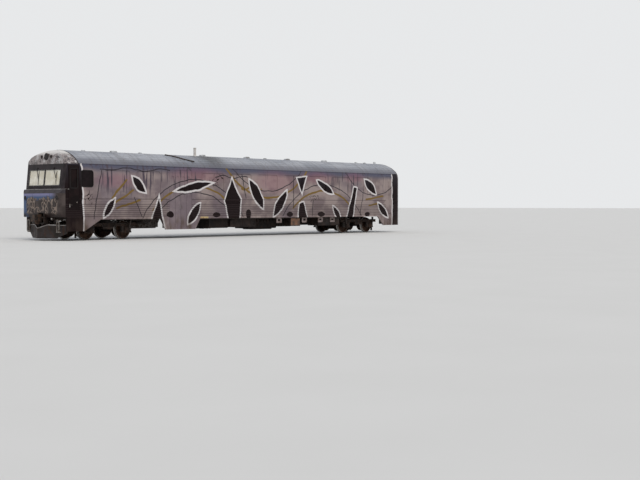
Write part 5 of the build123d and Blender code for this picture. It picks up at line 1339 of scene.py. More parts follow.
# Painted highlight: the pale tube along the top edge stands for light on the plough's top.
stops = (0.01 - PLOUGH_HALF, -KINK_HALF, 0, KINK_HALF, PLOUGH_HALF - 0.01)
pipe(bm, [on_plough(wide, edge_height(PLOUGH_TOP, wide), -0.012) for wide in stops], 0.016, 12, 0.05)
piece("plough_top_edge_highlight", bm, pale_trim)
bm = bmesh.new()
foot_line = [(wide, FOOT_EDGE_Z) for wide in (-FOOT_HALF, 0, FOOT_HALF)]
foot_line = [(-PLOUGH_HALF, TIP_BOTTOM), *foot_line, (PLOUGH_HALF, TIP_BOTTOM)]
pipe(bm, [on_plough(wide, height, -0.012) for wide, height in foot_line], 0.012, 10, 0.03)
for wide in PLOUGH_RIBS:
    low, top = edge_height(PLOUGH_FOOT, wide) + 0.03, edge_height(PLOUGH_TOP, wide) - 0.03
    rod(bm, on_plough(wide, low), on_plough(wide, top), 0.008, 8)
for side in (-1, 1):
    for height in (0.45, 0.50):
        for wide in (0.575, 0.625):
            foot = on_plough(side * wide, height, -0.001)
            bolt(bm, foot, FORWARD, 0.014, 0.010, 0.013, 0.008)
piece("plough_ribs", bm, plough_paint)

# Corner steps. Flat bar bent to a U under each front corner, with a chequered tread and two rows
# of bolts; bolted up behind the skirt.
step_low, step_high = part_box("corner_steps")
STEP_INNER, STEP_OUTER = 0.95, 1.13
TREAD_TOP = step_low.z + 0.035
step_metal = Finish("step_metal", 0.5, 0.6)
step_metal.clouded(8.0, (0.20, 0.18, 0.16), (0.070, 0.045, 0.032), (0.4, 0.62), 6.0)
step_metal.grain(50.0, 0.001, 0.6)
coat(step_metal, "corner_steps", "entrance_steps")
bm = bmesh.new()
for side in (-1, 1):
    tread = (side * (STEP_INNER + 0.045), side * (STEP_OUTER - 0.045))
    for place in row(step_high.x - 0.085, 0.029, 3):
        slab(bm, about(place, 0.005), tread, (TREAD_TOP - 0.002, TREAD_TOP + 0.005), 0.002)
    for wide in (STEP_INNER + 0.02, STEP_OUTER - 0.02):
        for height in (step_high.z - 0.06, step_high.z - 0.12, step_low.z + 0.018):
            foot = (step_high.x - 0.001, side * wide, height)
            bolt(bm, foot, FORWARD, 0.012, 0.007, 0.010, 0.007)
piece("corner_step_treads", bm, pale_trim)

# Entrance step nosings. Ribbed aluminium strips along the front of each tread in the wells.
WELL_RUNS = ((3.90, 5.20), (-10.50, -9.84))
# Treads: height, distance of the front edge from the middle plane
TREADS = ((0.478, 1.37), (0.878, 1.16))
bm = bmesh.new()
for side in (1, -1):
    for start, end in WELL_RUNS:
        for level, reach in TREADS:
            rise = (level - 0.001, level + 0.003)
            for wide in row(reach - 0.012, -0.016, 4):
                slab(bm, (start + 0.03, end - 0.03), about(side * wide, 0.005), rise, 0.0014)
piece("step_nosings", bm, worn_steel)

# Wheelsets. Rolled steel: rusty webs, a bright worn tread and flange, dirty axles, with brake discs
# pressed on the axle beside each wheel.
WHEELSETS = ("wheelset_1", "wheelset_2", "wheelset_3", "wheelset_4")
AXLE_BODIES = ("axle_1", "axle_2", "axle_3", "axle_4")
AXLE_PLACES = [sum(corner.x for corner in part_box(name)) / 2 for name in WHEELSETS]
AXLE_Z = 0.413
TREAD_RADIUS = 0.385
BRAKE_DISC = (
    (0, 0.10),
    (0.0, 0.30),
    (0.022, 0.30),
    (0.022, 0.20),
    (0.048, 0.20),
    (0.048, 0.30),
    (0.070, 0.30),
    (0.070, 0.10),
)
DISC_PLACES = (-0.43, 0.36)
DISC_BOLT = ((0, 0.011), (0.006, 0.013), (0.080, 0.013), (0.086, 0.010))
DISC_BOLT_CIRCLE = 0.125
wheel_steel = Finish("wheel_steel", 0.6, 0.6)
place = wheel_steel.vector("MULTIPLY", wheel_steel.place, (1, 0, 1))
reaches = [wheel_steel.vector("DISTANCE", place, (along, 0, AXLE_Z), 1) for along in AXLE_PLACES]
reach = join(wheel_steel, "MINIMUM", reaches)
wheel_steel.clouded(6.0, (0.030, 0.014, 0.008), (0.070, 0.034, 0.018), (0.38, 0.64), 7.0)
wheel_steel.over(wheel_steel.fade(reach, 0.16, 0.12), (0.030, 0.022, 0.018))
tread = wheel_steel.fade(reach, TREAD_RADIUS - 0.012, TREAD_RADIUS - 0.007)
wheel_steel.over(tread, (0.34, 0.32, 0.30))
wheel_steel.rough(tread, 0.7, 0.3)
wheel_steel.grain(45.0, 0.001, 0.4)
coat(wheel_steel, *WHEELSETS)
for body, along in zip(AXLE_BODIES, AXLE_PLACES):
    bm = bmesh.new()
    for wide in DISC_PLACES:
        turned(bm, (along, wide, AXLE_Z), ACROSS, BRAKE_DISC, 36)
        for a, b in compass(10):
            foot = (along + DISC_BOLT_CIRCLE * a, wide - 0.008, AXLE_Z + DISC_BOLT_CIRCLE * b)
            turned(bm, foot, ACROSS, DISC_BOLT, 6)
    piece(f"brake_discs_{body}", bm, wheel_steel, body)

# Bogies. Welded beams and boxes under rust-brown brake dust. Dressed with coil springs round their cores,
# axle box covers, dampers, brake callipers, air spring rubbers, lugs and pipes.
BOGIES = (("front", 8.2), ("rear", -8.0))
HALF_WHEELBASE = 0.95
BEAM_Y = 1.0
BEAM_LOW, BEAM_HIGH = 0.57, 0.71
WING_TOP = 0.328
COIL_OFFSET = 0.19
COIL_RADIUS = 0.076
WIRE_RADIUS = 0.0115
COIL_TURNS = 5.5
WIRE_STEPS = 20
SPRING_CUP = ((0, 0.088), (0.004, 0.092), (0.010, 0.092), (0.012, 0.088))
BOX_FACE = 1.10
BOX_COVER = (
    (-0.002, 0.105),
    (0.010, 0.105),
    (0.014, 0.098),
    (0.022, 0.080),
    (0.040, 0.076),
    (0.046, 0.066),
    (0.047, 0.030),
)
COVER_BOLT_CIRCLE = 0.090
# Dampers: share of the length, radius
DAMPER = ((0.5, 0.030), (0.52, 0.037), (0.93, 0.037), (0.95, 0.012), (1, 0.012))
BRAKE_CYLINDER = ((0, 0.06), (0.02, 0.075), (0.14, 0.075), (0.18, 0.05))
PAD_PLACES = (0.345, 0.445)
PAD_RISE = (AXLE_Z - 0.06, AXLE_Z + 0.10)
CALLIPER_Y = 0.395
BEAM_RIBS = (-1.30, -0.52, 0.52, 1.30)
RIB_LEVELS = (BEAM_LOW + 0.01, BEAM_HIGH - 0.01)
DAMPER_LUG_RISE = (BEAM_HIGH - 0.04, BEAM_HIGH + 0.13)
# The brake pipe's corners: along from the pivot, height
BRAKE_PIPE = ((-1.32, 0.675), (-0.35, 0.675), (-0.28, 0.52), (0.28, 0.52), (0.35, 0.675), (1.32, 0.675))
AIR_SPRING_Y = 0.80
# Folds of the air spring's rubber: middle height, half height; then the shape of a fold
RUBBER_FOLDS = ((0.735, 0.020), (0.79, 0.026), (0.85, 0.026), (0.905, 0.020))
FOLD = ((0, 0.249), (0.4, 0.262), (1, 0.268), (1.6, 0.262), (2, 0.249))


def coil(bm, foot, rise):
    """A helical spring round an upright line, with flat-ended wire."""
    steps = int(COIL_TURNS * WIRE_STEPS)
    rings = []
    for step in range(steps + 1):
        turn = 2 * math.pi * step / WIRE_STEPS
        out = Vector((math.cos(turn), math.sin(turn), 0))
        level = WIRE_RADIUS + (rise - 2 * WIRE_RADIUS) * step / steps
        rings.append(ring_at(foot + out * COIL_RADIUS + UP * level, out, UP, WIRE_RADIUS, 8))
    skin(bm, rings)


brake_dust = Finish("brake_dust", 0.8, shine=0.25)
brake_dust.clouded(5.0, (0.012, 0.007, 0.005), (0.038, 0.021, 0.014), (0.38, 0.65), 7.0)
settle_dust(brake_dust, (0.080, 0.052, 0.034))
brake_dust.grain(40.0, 0.0018, 0.6)
coat(brake_dust, "bogie_frame_front", "bogie_frame_rear", "suspension_front", "suspension_rear")
for bogie_name, pivot in BOGIES:
    springs, covers, dampers, brakes, beams, rubbers = [bmesh.new() for count in range(6)]
    for side in (1, -1):
        outward = (0, side, 0)
        for slant in (-1, 1):
            axle = pivot + slant * HALF_WHEELBASE
            for shift in (-COIL_OFFSET, COIL_OFFSET):
                foot = Vector((axle + shift, side * BEAM_Y, WING_TOP))
                coil(springs, foot, BEAM_LOW - WING_TOP)
                for rise in (0, BEAM_LOW - WING_TOP - 0.012):
                    turned(springs, foot + UP * rise, UP, SPRING_CUP)
            turned(covers, (axle, side * BOX_FACE, AXLE_Z), outward, BOX_COVER, 28)
            for a, b in compass(6):
                a, b = COVER_BOLT_CIRCLE * a, COVER_BOLT_CIRCLE * b
                place = (axle + a, side * (BOX_FACE + 0.010), AXLE_Z + b)
                bolt(covers, place, outward, 0.010, 0.008, 0.010, 0.006)
            low = Vector((axle + slant * 0.09, side * (BOX_FACE + 0.035), AXLE_Z + 0.10))
            high = Vector((axle + slant * 0.16, side * (BOX_FACE + 0.035), BEAM_HIGH + 0.10))
            run = high - low
            tube = [(0, 0.018), (0.01, 0.030)] + [(run.length * share, radius) for share, radius in DAMPER]
            turned(dampers, low, run, tube, 16)
            for end in (low, high):
                rod(dampers, end - Vector(outward) * 0.045, end + Vector(outward) * 0.018, 0.022, 14)
            slab(beams, about(high.x, 0.035), (side * 1.055, side * 1.10), DAMPER_LUG_RISE, 0.008)
            for wide in PAD_PLACES:
                slab(brakes, about(axle - slant * 0.17, 0.05), about(side * wide, 0.010), PAD_RISE, 0.006)
            place = (axle - slant * 0.34, side * CALLIPER_Y - 0.09, AXLE_Z + 0.10)
            turned(brakes, place, ACROSS, BRAKE_CYLINDER)
            arm = (axle - slant * 0.20, axle - slant * 0.70)
            slab(brakes, arm, about(side * CALLIPER_Y, 0.03), about(AXLE_Z + 0.12, 0.03), 0.008)
        for level in (BEAM_LOW - 0.002, BEAM_HIGH - 0.008):
            slab(beams, about(pivot, 1.40), (side * 0.93, side * 1.07), (level, level + 0.010), 0.003)
        for along in BEAM_RIBS:
            slab(beams, about(pivot + along, 0.012), (side * 1.055, side * 1.068), RIB_LEVELS, 0.004)
        brake_pipe = [(pivot + along, side * 1.075, height) for along, height in BRAKE_PIPE]
        pipe(dampers, brake_pipe, 0.009, 8, 0.05)
        for level, half in RUBBER_FOLDS:
            fold = [(share * half, radius) for share, radius in FOLD]
            turned(rubbers, (pivot, side * AIR_SPRING_Y, level - half), UP, fold, 40)
    for name, made, finish in (
        ("coil_springs", springs, dark_steel),
        ("axle_box_covers", covers, brake_dust),
        ("dampers", dampers, dark_steel),
        ("brake_gear", brakes, brake_dust),
        ("beam_flanges", beams, brake_dust),
        ("air_spring_rubber", rubbers, black_rubber),
    ):
        piece(f"{name}_{bogie_name}", made, finish, f"bogie_{bogie_name}")

# Engine. A cast block hung from the frame under dirt and drips, with ribs and covers along both sides,
# a sump, a pipe with branches on each side and the drive's round cover at its front end.
engine_low, engine_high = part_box("engine")
CRANK_Z = engine_low.z + 0.32
ENGINE_RIBS = 8
ENGINE_RIB_PITCH = 0.225
# Ribs: side, how far proud of the block
RIBS_PROUD = ((-1, 0.035), (1, 0.012))
RIB_RISE = (engine_low.z + 0.08, engine_low.z + 0.26)
COVER_RISE = (engine_low.z + 0.30, engine_low.z + 0.44)
SUMP_RISE = (engine_low.z - 0.05, engine_low.z + 0.02)
FLYWHEEL_COVER = ((0, 0.19), (0.03, 0.19), (0.04, 0.15), (0.06, 0.15), (0.07, 0.17), (0.09, 0.17))
MANIFOLD_Y = engine_high.y + 0.06
MANIFOLD_Z = engine_low.z + 0.50
# The side pipe's corners: along, distance from the middle plane, height
MANIFOLD = (
    (engine_low.x + 0.05, MANIFOLD_Y, MANIFOLD_Z),
    (engine_high.x - 0.15, MANIFOLD_Y, MANIFOLD_Z),
    (engine_high.x + 0.06, MANIFOLD_Y, MANIFOLD_Z - 0.06),
    (engine_high.x + 0.06, 0.25, MANIFOLD_Z - 0.10),
)


def on_flank(bm, side, along, face, off, rise, edge):
    """A rounded plate on a block's flank, between two distances off its face."""
    slab(bm, along, [side * (face + reach) for reach in off], rise, edge)


gear_paint = Finish("gear_paint", 0.7, shine=0.25)
cloud = gear_paint.clouded(3.5, (0.009, 0.005, 0.004), (0.028, 0.017, 0.013), (0.38, 0.65), 7.0)
drips = {"stretch": (1, 1, 0.12), "detail": 6.0}
gear_paint.patches((0.010, 0.008, 0.008), 0.6, (0.56, 0.62), 10.0, **drips)
gear_paint.rough(cloud, 0.5, 0.8)
gear_paint.grain(34.0, 0.0018, 0.5)
coat(gear_paint, "engine", "transmission", "radiator", "fuel_tank", "air_reservoirs", "side_boxes")
tab_paint = Finish("tab_paint", 0.6)
tab_paint.clouded(6.0, (0.210, 0.165, 0.155), (0.085, 0.055, 0.045), (0.38, 0.62), 5.0)
coat(tab_paint, "hanger_tabs")
bm = bmesh.new()
for along in row(engine_low.x + 0.14, ENGINE_RIB_PITCH, ENGINE_RIBS):
    for side, proud in RIBS_PROUD:
        on_flank(bm, side, about(along, 0.09), engine_high.y, (-0.01, 0.035), COVER_RISE, 0.012)
        on_flank(bm, side, about(along, 0.012), engine_high.y, (-0.01, proud), RIB_RISE, 0.004)
slab(bm, (engine_low.x + 0.12, engine_high.x - 0.35), about(0, 0.30), SUMP_RISE, 0.03, 3)
for side in (-1, 1):
    pipe(bm, [(along, side * wide, height) for along, wide, height in MANIFOLD], 0.032, 12, 0.09)
    for along in row(engine_low.x + 0.25, 0.45, 4):
        inner = side * (engine_high.y - 0.02)
        rod(bm, (along, side * MANIFOLD_Y, MANIFOLD_Z), (along, inner, MANIFOLD_Z), 0.026)
turned(bm, (engine_high.x - 0.01, 0, CRANK_Z), FORWARD, FLYWHEEL_COVER, 32)
piece("engine_fittings", bm, gear_paint)

# Transmission and drive. A ribbed cast gearbox, a tubular shaft with two joints and a sliding sleeve,
# and a final drive on the rear bogie's inner axle.
trans_low, trans_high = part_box("transmission")
TRANS_RIB_RISE = (trans_low.z + 0.05, trans_high.z - 0.09)
SHAFT_Z = 0.56
OUTPUT = ((0, 0.14), (0.03, 0.14), (0.04, 0.09), (0.10, 0.085), (0.11, 0.11), (0.13, 0.11))
INPUT = ((0, 0.16), (0.08, 0.16))
SHAFT_START = Vector((trans_low.x - 0.12, 0, SHAFT_Z))
SHAFT_END = Vector((-6.42, 0, 0.50))
# The shaft: from its start to the middle, then back from its end
SHAFT_HEAD = ((0, 0.075), (0.06, 0.075), (0.10, 0.040), (0.16, 0.040), (0.20, 0.058))
SHAFT_TAIL = ((0.20, 0.048), (0.16, 0.036), (0.08, 0.036), (0.05, 0.072), (0, 0.072))
# The final drive's blocks: spans along, across and up, then edge and steps of its rounding
FINAL_DRIVE = (
    ((-7.24, -6.84), about(0, 0.20), (0.21, 0.66), 0.06, 4),
    ((-6.90, -6.44), about(0, 0.13), (0.38, 0.62), 0.04, 3),
    ((-7.20, -6.88), about(0, 0.215), about(0.30, 0.012), 0.006, 2),
    ((-7.20, -6.88), about(0, 0.215), about(0.57, 0.012), 0.006, 2),
)
bm = bmesh.new()
for along in row(trans_low.x + 0.14, 0.19, 5):
    for side in (-1, 1):
        on_flank(bm, side, about(along, 0.012), trans_high.y, (-0.01, 0.022), TRANS_RIB_RISE, 0.005)
turned(bm, (trans_low.x + 0.01, 0, SHAFT_Z), -FORWARD, OUTPUT, 24)
turned(bm, (trans_high.x - 0.02, 0, CRANK_Z), FORWARD, INPUT, 24)
piece("transmission_ribs", bm, gear_paint)
bm = bmesh.new()
run = SHAFT_END - SHAFT_START
profile = [*SHAFT_HEAD, (run.length * 0.5, 0.058), (run.length * 0.51, 0.048)]
profile += [(run.length - back, radius) for back, radius in SHAFT_TAIL]
turned(bm, SHAFT_START, run, profile)
piece("drive_shaft", bm, dark_steel)
bm = bmesh.new()
for shape in FINAL_DRIVE:
    slab(bm, *shape)
piece("final_drive", bm, brake_dust, "bogie_rear")

# Radiator. A frame of slats on each side, and a fan ring with eight spokes below.
rad_low, rad_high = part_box("radiator")
rad_middle = (rad_low.x + rad_high.x) / 2
SLATS = 11
SLAT_PITCH = 0.036
SLAT_RUN = (rad_low.x + 0.06, rad_high.x - 0.06)
SLAT_FRAME_SIZE = (1.12, 0.42)
SLAT_FRAME = ((-0.01, -0.004), (0.03, -0.004), (0.03, 0.016), (0.02, 0.026), (-0.01, 0.024))
FAN = ((0, 0.42), (0.02, 0.42), (0.03, 0.40), (0.035, 0.12), (0.05, 0.10))
DOWN = -UP
bm = bmesh.new()
for side in (1, -1):
    for level in row(rad_low.z + 0.066, SLAT_PITCH, SLATS):
        on_flank(bm, side, SLAT_RUN, rad_high.y, (-0.008, 0.020), (level, level + 0.010), 0.003)
    centre = (rad_middle, side * rad_high.y, rad_low.z + 0.25)
    rim(bm, centre, (-side, 0, 0), UP, SLAT_FRAME_SIZE, 0.02, SLAT_FRAME)
turned(bm, (rad_middle, 0, rad_low.z + 0.005), DOWN, FAN, 36)
hub = Vector((rad_middle, 0, rad_low.z - 0.028))
for a, b in compass(8):
    spoke = Vector((a, b, 0))
    rod(bm, hub + spoke * 0.10, hub + spoke * 0.41, 0.008, 6)
piece("radiator_slats", bm, gear_paint)

# Fuel tank. Three flat steel straps round it; on each side a filler with its cap, a drain flange
# and a sight tube, and a drain plug underneath.
tank_low, tank_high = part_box("fuel_tank")
STRAP_PLACES = (tank_low.x + 0.28, (tank_low.x + tank_high.x) / 2, tank_high.x - 0.28)
STRAP_HALF = 0.035
STRAP_RISE = (tank_low.z + 0.055, tank_high.z - 0.05)
STRAP_UNDER = (tank_low.z - 0.008, tank_low.z + 0.004)
FILLER_NECK = ((0, 0.055), (0.05, 0.055), (0.055, 0.066), (0.085, 0.066), (0.092, 0.055))
DRAIN_FLANGE = ((0, 0.035), (0.012, 0.035), (0.018, 0.022), (0.030, 0.022))
DRAIN_PLUG = ((0, 0.05), (0.02, 0.05), (0.025, 0.028), (0.045, 0.026))
bm = bmesh.new()
for along in STRAP_PLACES:
    strap = about(along, STRAP_HALF)
    for side in (1, -1):
        on_flank(bm, side, strap, tank_high.y, (-0.004, 0.008), STRAP_RISE, 0.003)
    slab(bm, strap, about(0, tank_high.y - 0.06), STRAP_UNDER, 0.003)
for side in (1, -1):
    place = (tank_high.x - 0.12, side * (tank_high.y - 0.005), tank_high.z - 0.14)
    turned(bm, place, (0, side, 0.3), FILLER_NECK, 24)
    place = (tank_low.x + 0.12, side * (tank_high.y - 0.002), tank_low.z + 0.14)
    turned(bm, place, (0, side, 0), DRAIN_FLANGE, 18)
    tube = Vector((tank_low.x + 0.05, side * (tank_high.y + 0.012), 0))
    rod(bm, tube + UP * (tank_low.z + 0.10), tube + UP * (tank_high.z - 0.10), 0.008, 8)
turned(bm, (0.5, 0, tank_low.z + 0.002), DOWN, DRAIN_PLUG, 6)
piece("tank_straps", bm, gear_paint)

# Locker doors. Pressed doors with a lip, hinges, two turn latches and louvres; the small box
# ahead of the tabs is sprayed pale.
locker_low, locker_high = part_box("side_boxes")
locker_face = locker_high.y
pale_locker = Finish("pale_locker", 0.6)
pale_locker.clouded(5.0, (0.175, 0.085, 0.045), (0.075, 0.042, 0.028), (0.4, 0.62), 6.0)
pale_locker.grain(45.0, 0.001, 0.5)
# Lockers: start, end, number of doors, finish
LOCKERS = ((-6.15, -4.55, 2, gear_paint), (-3.23, -2.53, 1, pale_locker))
LOCKER_MARGIN = 0.03
LOCKER_DOOR_RISE = (locker_low.z + 0.03, locker_high.z - 0.03)
TURN_LATCH = ((0, 0.020), (0.006, 0.020), (0.008, 0.012), (0.014, 0.010))
LOUVRE_LEVELS = row(locker_low.z + 0.17, 0.026, 6)
for number, (start, end, doors, finish) in enumerate(LOCKERS, 1):
    bm = bmesh.new()
    width = (end - start - 2 * LOCKER_MARGIN) / doors
    for side in (1, -1):
        for low_x in row(start + LOCKER_MARGIN, width, doors):
            high_x = low_x + width
            door = (low_x + 0.012, high_x - 0.012)
            on_flank(bm, side, door, locker_face, (-0.002, 0.010), LOCKER_DOOR_RISE, 0.004)
            for place in (low_x + 0.10, high_x - 0.10):
                hinge = Vector((place, side * (locker_face + 0.012), locker_high.z - 0.035))
                rod(bm, hinge - FORWARD * 0.03, hinge + FORWARD * 0.03, 0.008, 8)
                latch = (place, side * (locker_face + 0.009), locker_low.z + 0.075)
                turned(bm, latch, (0, side, 0), TURN_LATCH, 12)
            louvre = (low_x + 0.16, high_x - 0.16)
            for level in LOUVRE_LEVELS:
                on_flank(bm, side, louvre, locker_face, (0.008, 0.018), (level, level + 0.010), 0.003)
    piece(f"locker_doors_{number}", bm, finish)

# Reservoirs and pipes. Weld rings, drain cocks and unions on the air tanks, and two long steel
# pipes with clips under each side sill from bogie to bogie; cross pipes hang from the floor.
air_low, air_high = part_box("air_reservoirs")
RESERVOIR_Y, RESERVOIR_Z, RESERVOIR_RADIUS = 0.4, 0.79, 0.15
WELD_RING = ((0, 0.150), (0.003, 0.155), (0.013, 0.155), (0.016, 0.150))
TANK_END = ((0, 0.140), (0.018, 0.120), (0.032, 0.080), (0.038, 0.030))
UNION = ((0, 0.022), (0.03, 0.022), (0.032, 0.014), (0.05, 0.014))
DRAIN_COCK = ((0, 0.016), (0.02, 0.016), (0.022, 0.009), (0.05, 0.009))
SILL_Z = 0.858
FLOOR_UNDER_Z = 1.138
# Long pipes: start, end, distance from the middle plane, height
LINE_RUNS = ((-6.20, 3.30, 1.345, 0.838), (-6.30, 3.30, 1.300, 0.832), (5.85, 6.75, 1.345, 0.838))
CLIP_SPACING = 0.9
# Cross pipes: place along the car, height
CROSS_RUNS = ((6.05, 0.76), (6.17, 0.72), (6.29, 0.66), (6.41, 0.698), (6.52, 0.738))
HANGERS = (-0.9, -0.3, 0.3, 0.9)
bm = bmesh.new()
for side in (-1, 1):
    wide = side * RESERVOIR_Y
    for along in (air_low.x + 0.05, air_low.x + 0.75, air_high.x - 0.05):
        turned(bm, (along - 0.008, wide, RESERVOIR_Z), FORWARD, WELD_RING, 32)
    for along, way in ((air_low.x, -1), (air_high.x, 1)):
        turned(bm, (along - way * 0.002, wide, RESERVOIR_Z), (way, 0, 0), TANK_END, 28)
        turned(bm, (along + way * 0.03, wide, RESERVOIR_Z), (way, 0, 0), UNION, 6)
    foot = (air_low.x + 0.5, wide, RESERVOIR_Z - RESERVOIR_RADIUS + 0.002)
    turned(bm, foot, DOWN, DRAIN_COCK, 8)
for start, end, wide, height in LINE_RUNS:
    for side in (-1, 1):
        rod(bm, (start, side * wide, height), (end, side * wide, height), 0.013)
        clips = max(2, int((end - start) / CLIP_SPACING))
        clip_rise = (height - 0.016, SILL_Z + 0.002)
        for along in row(start + 0.2, (end - start - 0.4) / (clips - 1), clips):
            slab(bm, about(along, 0.012), about(side * wide, 0.018), clip_rise, 0.003)
for along, height in CROSS_RUNS:
    for side in (-1, 1):
        start = (along - 0.35, side * 1.24, SILL_Z - 0.02)
        pipe(bm, (start, (along, side * 1.24, height), (along, side * 0.10, height)), 0.022, 10, 0.10)
        rod(bm, (along, side * 0.14, height), (along, 0.0, height), 0.030)
    for wide in HANGERS:
        slab(bm, about(along, 0.028), about(wide, 0.012), (height - 0.026, FLOOR_UNDER_Z), 0.003)
piece("air_pipes", bm, dark_steel)

# Inner end. Ribbed steel wall sprayed at its edges, folded black rubber bellows with a pale
# clamping lip, grab rails, lamp sockets and jumper plugs, and a bolted drawbar.
BACKWARD = -FORWARD
BELLOWS_LOW, BELLOWS_HIGH, BELLOWS_HALF = 1.098, 3.328, 0.62
BELLOWS_CORNER = 0.12
CLAMP = ((0.0, -0.002), (0.045, -0.002), (0.045, 0.010), (0.03, 0.014), (0.0, 0.012))
END_POSTS = (0.86, 1.10, 1.30)
END_RAILS = (1.12, 2.05)
LAMP_SOCKET = ((0, 0.085), (0.02, 0.085), (0.03, 0.072), (0.032, 0.02))
JUMPER_PLUG = ((0, 0.034), (0.03, 0.034), (0.034, 0.026))
# Grab rails: behind the wall, height
GRAB_RAIL = ((-0.001, 1.30), (0.06, 1.30), (0.06, 2.30), (-0.001, 2.30))
end_paint = Finish("end_paint", 0.55)
end_paint.clouded(2.5, (0.045, 0.036, 0.038), (0.10, 0.085, 0.085), (0.38, 0.65), 6.0)
end_paint.patches((0.25, 0.225, 0.23), 0.7, (0.55, 0.62), 1.4, detail=3.0, shift=(4, 0, 2))
end_paint.grain(50.0, 0.001, 0.4)
coat(end_paint, "inner_end_wall")
coat(black_rubber, "gangway_bellows")
bm = bmesh.new()
centre = (rear_x, 0, (BELLOWS_LOW + BELLOWS_HIGH) / 2)
size = (2 * BELLOWS_HALF, BELLOWS_HIGH - BELLOWS_LOW)
rim(bm, centre, -ACROSS, UP, size, BELLOWS_CORNER, CLAMP)
for way in (-1, 1):
    for height in row(BELLOWS_LOW + 0.18, 0.235, 9):
        foot = (rear_x - 0.011, way * (BELLOWS_HALF + 0.028), height)
        bolt(bm, foot, BACKWARD, 0.010, 0.007, 0.009, 0.006)
piece("bellows_clamp", bm, pale_trim)
bm = bmesh.new()
on_wall = (rear_x - 0.012, rear_x + 0.002)
for side in (-1, 1):
    for wide in END_POSTS:
        slab(bm, on_wall, about(side * wide, 0.014), (1.30, 3.05), 0.005)
    for rise in END_RAILS:
        slab(bm, on_wall, (side * 0.72, side * 1.36), about(rise, 0.016), 0.005)
    turned(bm, (rear_x + 0.002, side * 1.16, 1.62), BACKWARD, LAMP_SOCKET, 28)
    slab(bm, (rear_x - 0.09, rear_x + 0.002), about(side * 0.95, 0.09), (0.98, 1.10), 0.012)
    for shift in (-0.035, 0.045):
        turned(bm, (rear_x - 0.085, side * 0.95 + shift, 1.04), BACKWARD, JUMPER_PLUG, 16)
piece("end_wall_ribs", bm, end_paint)
bm = bmesh.new()
for side in (-1, 1):
    pipe(bm, [(rear_x - off, side * 1.23, height) for off, height in GRAB_RAIL], 0.014, 12, 0.04)
piece("end_grab_rails", bm, worn_steel)
bar_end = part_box("rear_drawbar")[0].x
bm = bmesh.new()
slab(bm, (bar_end + 0.001, bar_end + 0.03), about(0, 0.12), about(COUPLER_Z, 0.12), 0.008)
for wide in (-0.09, 0.09):
    for rise in (-0.09, 0.09):
        bolt(bm, (bar_end + 0.028, wide, COUPLER_Z + rise), FORWARD, 0.018, 0.014, 0.018, 0.011)
for side in (-1, 1):
    web = about(side * 0.082, 0.008)
    slab(bm, (bar_end + 0.02, rear_x - 0.01), web, about(COUPLER_Z, 0.05), 0.005)
piece("drawbar_plate", bm, coupler_iron)

# Cab inside, seen through the glass. Grey moulded console with two cowls, dials and levers, and a
# plain bulkhead with a door frame and a cabinet.
desk_low, desk_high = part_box("cab_desk")
DESK_SEAT_Y = -0.45
# Cowls: middle and half width; then their outline, from the desk's rear edge and top
COWLS = ((DESK_SEAT_Y, 0.36), (0.50, 0.30))
COWL = ((0.05, 0.0), (0.24, 0.0), (0.24, 0.10), (0.20, 0.13), (0.12, 0.10))
DIAL_WAY = (-0.75, 0, 1.0)
DIAL = ((0, 0.045), (0.008, 0.045), (0.010, 0.038), (0.004, 0.036))
# Levers: distance from the middle plane, lean to the side
LEVERS = ((-0.78, 0.02), (-0.14, -0.02))
KNOB = ((0, 0.012), (0.01, 0.024), (0.03, 0.024), (0.04, 0.012))
bulkhead_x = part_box("cab_bulkhead")[1].x
CAB_FLOOR_Z = 1.238
DOOR_FRAME = ((-0.01, -0.002), (0.04, -0.002), (0.04, 0.012), (0.0, 0.016), (-0.01, 0.01))
cab_lining = Finish("cab_lining", 0.65)
cab_lining.clouded(6.0, (0.10, 0.105, 0.11), (0.16, 0.165, 0.165))
cab_lining.grain(120.0, 0.0005, 0.5)
coat(cab_lining, "cab_bulkhead", "cab_desk", "gangway_door", "driver_seat")
floor_board = Finish("floor_board", 0.8)
floor_board.clouded(5.0, (0.045, 0.045, 0.05), (0.09, 0.08, 0.075), (0.4, 0.65))
floor_board.grain(80.0, 0.0006, 0.6)
coat(floor_board, "floor")
bm = bmesh.new()
for middle, half in COWLS:
    outline = [(desk_low.x + run, middle - half, desk_high.z + rise) for run, rise in COWL]
    prism(bm, outline, (0, 2 * half, 0))
desk_top = (desk_high.z - 0.02, desk_high.z + 0.006)
slab(bm, (desk_low.x - 0.05, desk_high.x), about(0, 0.90), desk_top, 0.006)
for wide in row(DESK_SEAT_Y - 0.24, 0.16, 4):
    turned(bm, (desk_low.x + 0.075, wide, desk_high.z + 0.045), DIAL_WAY, DIAL)
for wide, lean in LEVERS:
    foot = Vector((desk_low.x, wide, desk_high.z))
    tip = foot + Vector((-0.04, lean, 0.16))
    pipe(bm, (foot, foot + UP * 0.09, tip), 0.010, 10, 0.03)
    turned(bm, tip - UP * 0.01, UP, KNOB, 14)
piece("desk_console", bm, cab_lining)
bm = bmesh.new()
rim(bm, (bulkhead_x, 0, CAB_FLOOR_Z + 0.985), ACROSS, UP, (0.66, 1.95), 0.03, DOOR_FRAME)
slab(bm, (bulkhead_x - 0.001, bulkhead_x + 0.05), (0.70, 1.15), (2.15, 2.75), 0.012)
piece("bulkhead_trim", bm, cab_lining)

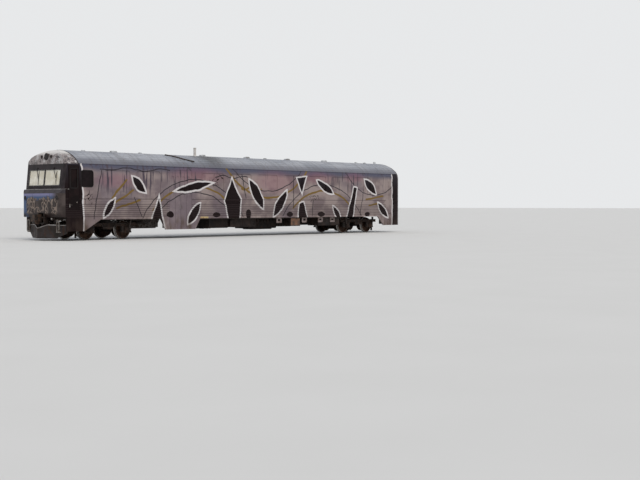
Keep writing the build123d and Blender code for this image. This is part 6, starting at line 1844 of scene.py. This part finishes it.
# Driver's seat. A turned pedestal and two brackets of steel under crowned cushions
# in dark woven cloth, stuffed with foam.
SEAT_X, SEAT_Y, SEAT_Z = 9.50, -0.45, 1.758
BACK_Z = 2.065
PEDESTAL = (
    (0, 0.20),
    (0.012, 0.20),
    (0.02, 0.09),
    (0.06, 0.075),
    (0.30, 0.075),
    (0.32, 0.065),
    (0.40, 0.065),
)
BRACKETS = (1.90, 2.15)
CELL_SIZE = 0.012
MOST_BULGE = 0.012
seat_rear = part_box("driver_seat")[0].x
seat_cloth = Finish("seat_cloth", 0.9)
weave = seat_cloth.put("TexWave", {"Vector": seat_cloth.place, "Scale": 90.0, "Distortion": 1.0})
seat_cloth.colour(seat_cloth.mix(weave, (0.020, 0.024, 0.045), (0.045, 0.050, 0.075)))
seat_cloth.bump(weave, 0.0006, 0.6)


def take_result(made):
    """Turns what the modifiers make of an object into its own mesh."""
    depsgraph = bpy.context.evaluated_depsgraph_get()
    result = bpy.data.meshes.new_from_object(made.evaluated_get(depsgraph))
    made.modifiers.clear()
    made.data = result


def cushion(name, centre, size):
    """A stuffed pad: a rounded block blown up a little by cloth under pressure."""
    bm = bmesh.new()
    block(bm, centre, size, min(size) * 0.32, 4)
    made = piece(name, bm, seat_cloth)
    remesh = made.modifiers.new("remesh", "REMESH")
    remesh.mode = "VOXEL"
    remesh.voxel_size = CELL_SIZE
    take_result(made)
    start = [vert.co.copy() for vert in made.data.vertices]
    cloth = made.modifiers.new("cloth", "CLOTH")
    cloth.settings.use_pressure = True
    cloth.settings.uniform_pressure_force = 4
    cloth.settings.effector_weights.gravity = 0
    for frame_number in range(1, 13):
        bpy.context.scene.frame_set(frame_number)
    take_result(made)
    for vert, rest in zip(made.data.vertices, start):
        step = vert.co - rest
        if step.length > MOST_BULGE:
            vert.co = rest + step.normalized() * MOST_BULGE
    bpy.context.scene.frame_set(1)
    made.data.materials.clear()
    made.data.materials.append(seat_cloth.material)
    made.data.shade_smooth()
    return made


cushion("seat_squab", (SEAT_X, SEAT_Y, SEAT_Z - 0.03), (0.44, 0.44, 0.10))
cushion("seat_back", (seat_rear + 0.065, SEAT_Y, BACK_Z), (0.10, 0.44, 0.50))
bm = bmesh.new()
slab(bm, about(SEAT_X, 0.20), about(SEAT_Y, 0.20), (1.62, 1.672), 0.012)
turned(bm, (SEAT_X, SEAT_Y, CAB_FLOOR_Z), UP, PEDESTAL, 28)
for rise in BRACKETS:
    slab(bm, (seat_rear - 0.005, seat_rear + 0.03), about(SEAT_Y, 0.16), about(rise, 0.02), 0.006)
seat_frame = piece("seat_frame", bm, dark_steel)
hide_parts("driver_seat")

low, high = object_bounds()
